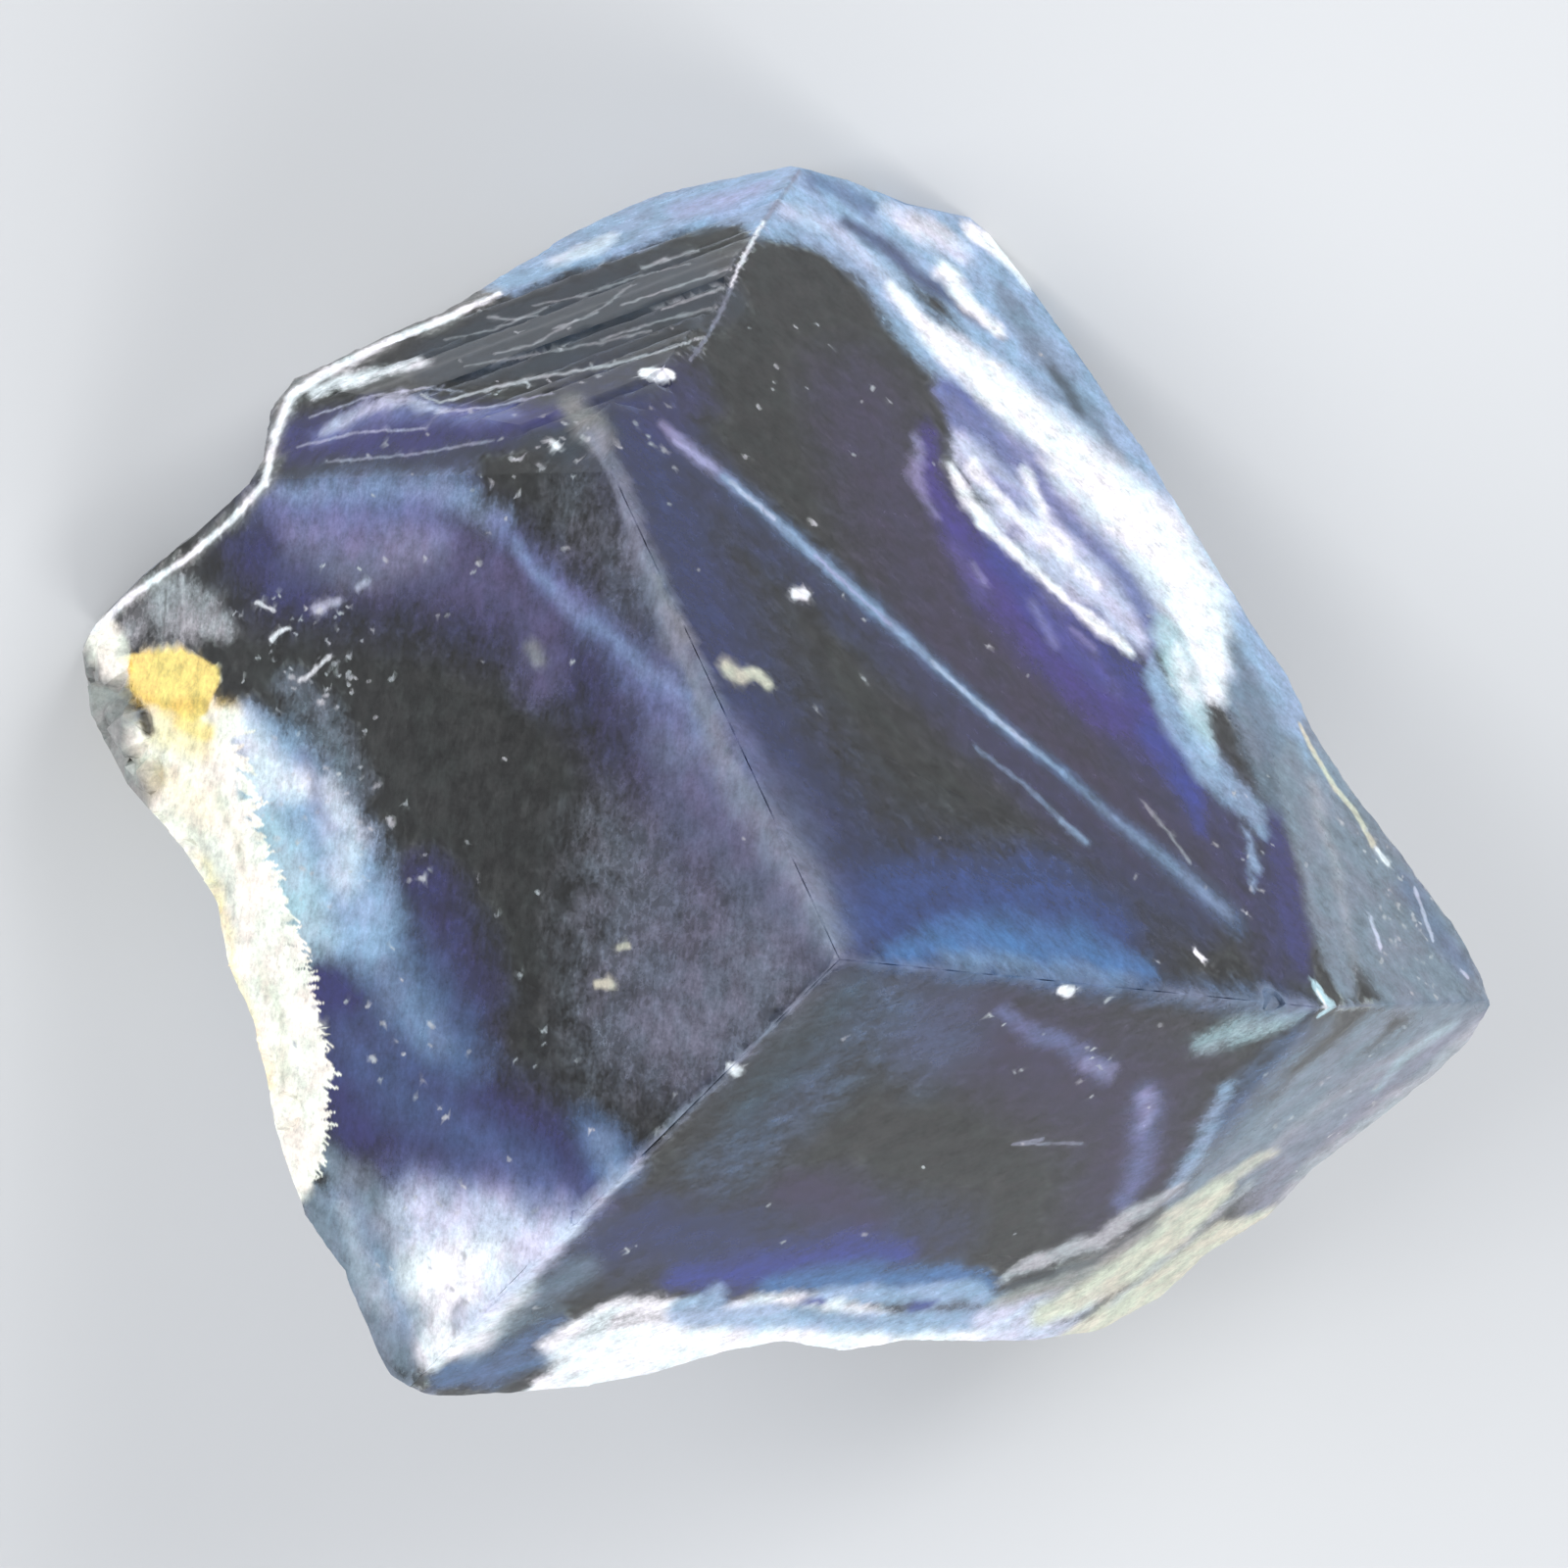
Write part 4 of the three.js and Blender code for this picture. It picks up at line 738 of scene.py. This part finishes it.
def fine_mesh():
    """The solid's faces, with worn cube edges, cut into small even triangles."""
    mesh = bmesh.new()
    mesh.from_mesh(node.data)
    bmesh.ops.remove_doubles(mesh, verts=mesh.verts, dist=WELD_GAP)
    bmesh.ops.dissolve_degenerate(mesh, edges=mesh.edges, dist=SHORTEST_EDGE)
    bmesh.ops.dissolve_limit(mesh, angle_limit=LEVEL_ANGLE, verts=mesh.verts, edges=mesh.edges)
    bmesh.ops.bevel(
        mesh, geom=worn_edges(mesh), offset=EDGE_WEAR, segments=2, profile=0.5, affect="EDGES"
    )
    mesh.normal_update()

    def step_of(face):
        return FRONT_STEP if is_front(face) else BROKEN_STEP

    split_long_edges(mesh, step_of)
    for face in list(mesh.faces):
        fill_flat_face(mesh, face, step_of(face), not is_base(face))
    close_slits(mesh)
    bmesh.ops.recalc_face_normals(mesh, faces=mesh.faces)
    turn_slivers(mesh)
    mesh.normal_update()
    mesh.faces.index_update()
    return mesh


def mark_crisp_edges(mesh):
    for face in mesh.faces:
        face.smooth = True
    for edge in mesh.edges:
        edge.smooth = edge.calc_face_angle(0) < CRISP_ANGLE


# Depth of the unevenness in the broken faces, where most of it starts, and its waves as
# (waves per mm, share, roughness, step between octaves, octaves)
ROUGH_DEPTH = 0.16 * MM
ROUGH_START = 0.5
ROUGH_WAVES = [(0.7, 0.45, 0.6, 2.2, 4), (2.6, 0.4, 0.7, 2.0, 3)]


def roughen(mesh):
    """Sinks broken faces a little, unevenly, and leaves the flat faces alone."""
    normals = np.array([face.normal[:] for face in mesh.faces])
    flat = (normals @ TO_EDGES.T @ FRONT_NORMALS.T).max(1) > FLAT_MATCH
    base = normals[:, 2] < -BASE_MATCH
    moves = {}
    for vert in mesh.verts:
        around = [face.index for face in vert.link_faces]
        share = 1 - flat[around].mean()
        if share == 0 or base[around].any():
            continue
        place = vert.co / MM
        relief = ROUGH_START
        for scale, weight, *waves in ROUGH_WAVES:
            relief += weight * noise.fractal(place * scale, *waves)
        depth = max(0.0, relief) * share
        moves[vert] = vert.normal * (-ROUGH_DEPTH * depth)
    for vert, move in moves.items():
        vert.co += move
    lowest = min(vertex.co.z for vertex in node.data.vertices)
    for vert in mesh.verts:
        vert.co.z = max(vert.co.z, lowest)


def add_object(name, data):
    made = bpy.data.objects.new(name, data)
    bpy.context.scene.collection.objects.link(made)
    return made


def add_mesh(name, mesh):
    data = bpy.data.meshes.new(name)
    mesh.to_mesh(data)
    mesh.free()
    return add_object(name, data)


# Keeps the shifts of different seeds apart
SEED_STEPS = (13.7, 7.1, 3.3)


def waver(points, waves):
    """Places seen from above, each moved by smooth random shifts, in mm."""
    places = points[:, :2].copy()
    for scale, reach, seed in waves:
        shift = Vector([seed * step for step in SEED_STEPS])
        moved = [noise.noise_vector(Vector(point) * scale + shift) for point in points]
        places += np.array([(vector.x, vector.y) for vector in moved]) * reach
    return places


def cover_of(places, softness, points):
    """1 within a stroke, fading out over its softness."""
    rows = np.array(points)
    reach = rows[:, 2].max() * (1 + softness)
    low, high = rows[:, :2].min(0) - reach, rows[:, :2].max(0) + reach
    inside = ((places > low) & (places < high)).all(1)
    ease = np.zeros(len(places))
    gap = stroke_gap(places[inside], points)
    ease[inside] = np.clip((1 + softness - gap) / (2 * softness), 0, 1)
    return ease * ease * (3 - 2 * ease)


# What lies under all strokes: faint body veil, rubble on broken faces and haze on the base
CLEAR_TINT = (0.72, 0.80, 0.76)
CLEAR_COVER = 0.014
BROKEN_COVER = 0.72
BASE_COVER = 0.35
# Where a point's normal starts to count as a flat face's or the base's, and over what span
FRONT_RAMP = (0.8, 0.12)
BASE_RAMP = (0.9, 0.08)
# Wavering of the stroke edges, as (waves per mm, reach in mm, seed)
VEIL_WAVERS = [(0.25, 0.2, 1), (0.8, 0.2, 2), (2.4, 0.13, 4)]
LINE_WAVERS = [(3.0, 0.06, 3)]


def ramp(match, start, span):
    return np.clip((match - start) / span, 0, 1)


def paint(piece):
    """Lays the strokes over each other, point by point, as tint and cover."""
    data = piece.data
    count = len(data.vertices)
    points = np.empty(count * 3)
    data.vertices.foreach_get("co", points)
    points = points.reshape(-1, 3) / MM
    normals = np.empty(count * 3)
    data.vertices.foreach_get("normal", normals)
    normals = normals.reshape(-1, 3) @ TO_EDGES.T
    front = ramp((normals @ FRONT_NORMALS.T).max(1), *FRONT_RAMP)
    base = ramp(normals @ unit(BASE_FACE), *BASE_RAMP)
    broken = (1 - front) * (1 - base)
    tint = np.tile(np.array(CLEAR_TINT), (count, 1))
    cover = np.full(count, CLEAR_COVER)

    def lay(colour, share):
        nonlocal tint, cover
        total = share + cover * (1 - share)
        tint += (np.array(colour) - tint) * (share / np.maximum(total, 1e-6))[:, None]
        cover = total

    lay(TINTS["rubble"], broken * BROKEN_COVER)
    lay(TINTS["haze"], base * BASE_COVER)
    for strokes, waves in ((STROKES, VEIL_WAVERS), (FINE_STROKES, LINE_WAVERS)):
        places = waver(points, waves)
        for name, amount, softness, *line in strokes:
            lay(TINTS[name], cover_of(places, softness, line) * amount * (1 - base))
    # Tint and cover of the veils, the painted shade and the painted glow
    layer = data.attributes.new("veil_and_painted_light", "FLOAT_COLOR", "POINT")
    values = np.column_stack([tint, cover])
    layer.data.foreach_set("color", values.astype(np.float32).ravel())
    layer = data.attributes.new("broken", "FLOAT", "POINT")
    layer.data.foreach_set("value", np.maximum(broken, base).astype(np.float32))


class Nodes:
    """Short names for the shader nodes that a material needs."""

    def __init__(self, material):
        material.use_nodes = True
        self.tree = material.node_tree
        self.shader = self.tree.nodes["Principled BSDF"]
        self.output = self.tree.nodes["Material Output"]

    def add(self, kind, **settings):
        made = self.tree.nodes.new(kind)
        for name, value in settings.items():
            setattr(made, name, value)
        return made

    def feed(self, socket, value):
        if isinstance(value, bpy.types.NodeSocket):
            self.tree.links.new(value, socket)
        else:
            socket.default_value = value

    def math(self, operation, *values, clamp=False):
        made = self.add("ShaderNodeMath", operation=operation, use_clamp=clamp)
        for socket, value in zip(made.inputs, values):
            self.feed(socket, value)
        return made.outputs[0]

    def ease(self, value, low, high):
        made = self.add("ShaderNodeMapRange", interpolation_type="SMOOTHSTEP")
        self.feed(made.inputs["Value"], value)
        self.feed(made.inputs["From Min"], low)
        self.feed(made.inputs["From Max"], high)
        return made.outputs[0]

    def mix(self, share, first, second, blend="MIX"):
        made = self.add("ShaderNodeMix", data_type="RGBA", blend_type=blend)
        self.feed(made.inputs[0], share)
        self.feed(made.inputs[6], first)
        self.feed(made.inputs[7], second)
        return made.outputs[2]

    def place(self, stretch):
        """Object coordinates in mm, stretched."""
        made = self.add("ShaderNodeVectorMath", operation="MULTIPLY")
        self.feed(made.inputs[0], self.add("ShaderNodeTexCoord").outputs["Object"])
        made.inputs[1].default_value = [part / MM for part in stretch]
        return made.outputs[0]

    def noise(self, stretch, detail, rough=0.6):
        made = self.add("ShaderNodeTexNoise")
        self.feed(made.inputs["Vector"], self.place(stretch))
        made.inputs["Scale"].default_value = 1
        made.inputs["Detail"].default_value = detail
        made.inputs["Roughness"].default_value = rough
        return made.outputs[0]


# Shares of the streaks, clouds and specks in the grain, and how far it moves cover and tint
STREAK_SHARE, CLOUD_SHARE, SPECK_SHARE = 0.15, 0.69, 0.16
COVER_SWING = 14.0
TINT_SWING = 3.0
# Slow turns of the tint from warm to cool
WARM_TURN = (1.06, 0.985, 1.0, 1)
COOL_TURN = (0.93, 1.01, 1.0, 1)
# Roughness of the polished faces, and what breaks and milk add to it
POLISH_ROUGH, BROKEN_ROUGH, MILK_ROUGH = 0.04, 0.35, 0.25
FLUORITE_INDEX = 1.434
BODY_BLUE = (0.12, 0.18, 0.42, 1)
BODY_DENSITY = 130


def clear_material():
    material = bpy.data.materials.new("clear_fluorite")
    nodes = Nodes(material)
    shader = nodes.shader
    veil_and_painted_light = nodes.add("ShaderNodeAttribute", attribute_name="veil_and_painted_light")
    broken = nodes.add("ShaderNodeAttribute", attribute_name="broken").outputs["Fac"]
    tint, cover = veil_and_painted_light.outputs["Color"], veil_and_painted_light.outputs["Alpha"]
    # Cleavage streaks run level round the stone; clouds have no grain
    streaks = nodes.noise((1.6, 1.6, 7.0), detail=3)
    clouds = nodes.noise((1.3, 1.3, 1.3), detail=9, rough=0.78)
    specks = nodes.noise((7.0, 7.0, 7.0), detail=2)
    grain = nodes.math("MULTIPLY", clouds, CLOUD_SHARE)
    grain = nodes.math("MULTIPLY_ADD", streaks, STREAK_SHARE, grain)
    grain = nodes.math("MULTIPLY_ADD", specks, SPECK_SHARE, grain)
    swing = nodes.math("SUBTRACT", grain, 0.5)
    open_part = nodes.math("SUBTRACT", 1.0, cover)
    room = nodes.math("MULTIPLY", nodes.math("MULTIPLY", cover, open_part), open_part)
    wave = nodes.math("MULTIPLY", nodes.math("MULTIPLY", swing, COVER_SWING), room)
    # Share that is not see-through: milky veils, painted shade and painted glow
    milk_and_painted_light = nodes.math("ADD", cover, wave, clamp=True)
    bright = nodes.math("MULTIPLY_ADD", swing, TINT_SWING, 1.0)
    gain = nodes.add("ShaderNodeVectorMath", operation="SCALE")
    nodes.feed(gain.inputs[0], tint)
    nodes.feed(gain.inputs["Scale"], bright)
    drift = nodes.ease(nodes.noise((0.6, 0.6, 0.6), detail=4), 0.36, 0.64)
    shift = nodes.mix(drift, WARM_TURN, COOL_TURN)
    nodes.feed(shader.inputs["Base Color"], nodes.mix(1.0, gain.outputs[0], shift, "MULTIPLY"))
    nodes.feed(shader.inputs["Transmission Weight"], nodes.math("SUBTRACT", 1.0, milk_and_painted_light, clamp=True))
    rough = nodes.math("MULTIPLY_ADD", broken, BROKEN_ROUGH, POLISH_ROUGH)
    rough = nodes.math("MULTIPLY_ADD", milk_and_painted_light, MILK_ROUGH, rough)
    nodes.feed(shader.inputs["Roughness"], rough)
    shader.inputs["IOR"].default_value = FLUORITE_INDEX
    volume = nodes.add("ShaderNodeVolumeAbsorption")
    volume.inputs["Color"].default_value = BODY_BLUE
    volume.inputs["Density"].default_value = BODY_DENSITY
    nodes.feed(nodes.output.inputs["Volume"], volume.outputs[0])
    return material


mesh = fine_mesh()
roughen(mesh)
mark_crisp_edges(mesh)
crystal = add_mesh("crystal_body", mesh)
paint(crystal)
crystal.data.materials.append(clear_material())
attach(crystal, "root")
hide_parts("fluorite_crystal")


FLOOR_SIZE = 2
FLOOR_COLOUR = (0.56, 0.57, 0.58, 1)
FLOOR_ROUGH = 0.7
LIGHTS = [
    ("right_light", (0.2, 0.24, 0.25)),
    ("left_light", (-0.32, 0.05, 0.25)),
    ("low_light", (0.12, -0.3, 0.25)),
]
LIGHT_SIZE = 0.25
LIGHT_POWER = 1.15
LIGHT_TARGET = Vector((0, 0, 0.015))
SENSOR_WIDTH = 36
SKY_COLOUR = (0.85, 0.9, 1, 1)
SKY_STRENGTH = 0.34


def add_floor():
    mesh = bmesh.new()
    bmesh.ops.create_grid(mesh, x_segments=1, y_segments=1, size=FLOOR_SIZE)
    floor = add_mesh("floor", mesh)
    material = bpy.data.materials.new("pale_floor")
    material.use_nodes = True
    shader = material.node_tree.nodes["Principled BSDF"]
    shader.inputs["Base Color"].default_value = FLOOR_COLOUR
    shader.inputs["Roughness"].default_value = FLOOR_ROUGH
    floor.data.materials.append(material)


def add_light(name, place):
    light = bpy.data.lights.new(name, "AREA")
    light.size = LIGHT_SIZE
    light.energy = LIGHT_POWER
    lamp = add_object(name, light)
    lamp.location = place
    lamp.rotation_mode = "QUATERNION"
    lamp.rotation_quaternion = (Vector(place) - LIGHT_TARGET).to_track_quat("Z", "Y")


def add_camera():
    turn = Matrix.Rotation(SIGHT_LEAN, 4, "Y") @ Matrix.Rotation(SIGHT_NOD, 4, "X")
    eye = CORNER + turn @ Vector((EYE_ACROSS, EYE_UP, EYE_AWAY))
    data = bpy.data.cameras.new("camera")
    data.sensor_fit = "HORIZONTAL"
    data.sensor_width = SENSOR_WIDTH
    data.lens = SENSOR_WIDTH * EYE_AWAY / (FRAME_PIXELS * PIXEL_SIZE)
    data.clip_start, data.clip_end = 0.01, 10
    camera = add_object("camera", data)
    camera.matrix_world = Matrix.Translation(eye) @ turn
    bpy.context.scene.camera = camera


add_floor()
for name, place in LIGHTS:
    add_light(name, place)
add_camera()

world = bpy.data.worlds.new("studio")
world.use_nodes = True
sky = world.node_tree.nodes["Background"]
sky.inputs["Color"].default_value = SKY_COLOUR
sky.inputs["Strength"].default_value = SKY_STRENGTH
scene = bpy.context.scene
scene.world = world
scene.view_settings.view_transform = "Standard"
scene.cycles.max_bounces = 8
scene.cycles.transmission_bounces = 6
scene.cycles.glossy_bounces = 3
scene.cycles.diffuse_bounces = 2
scene.cycles.caustics_refractive = False
scene.cycles.caustics_reflective = False
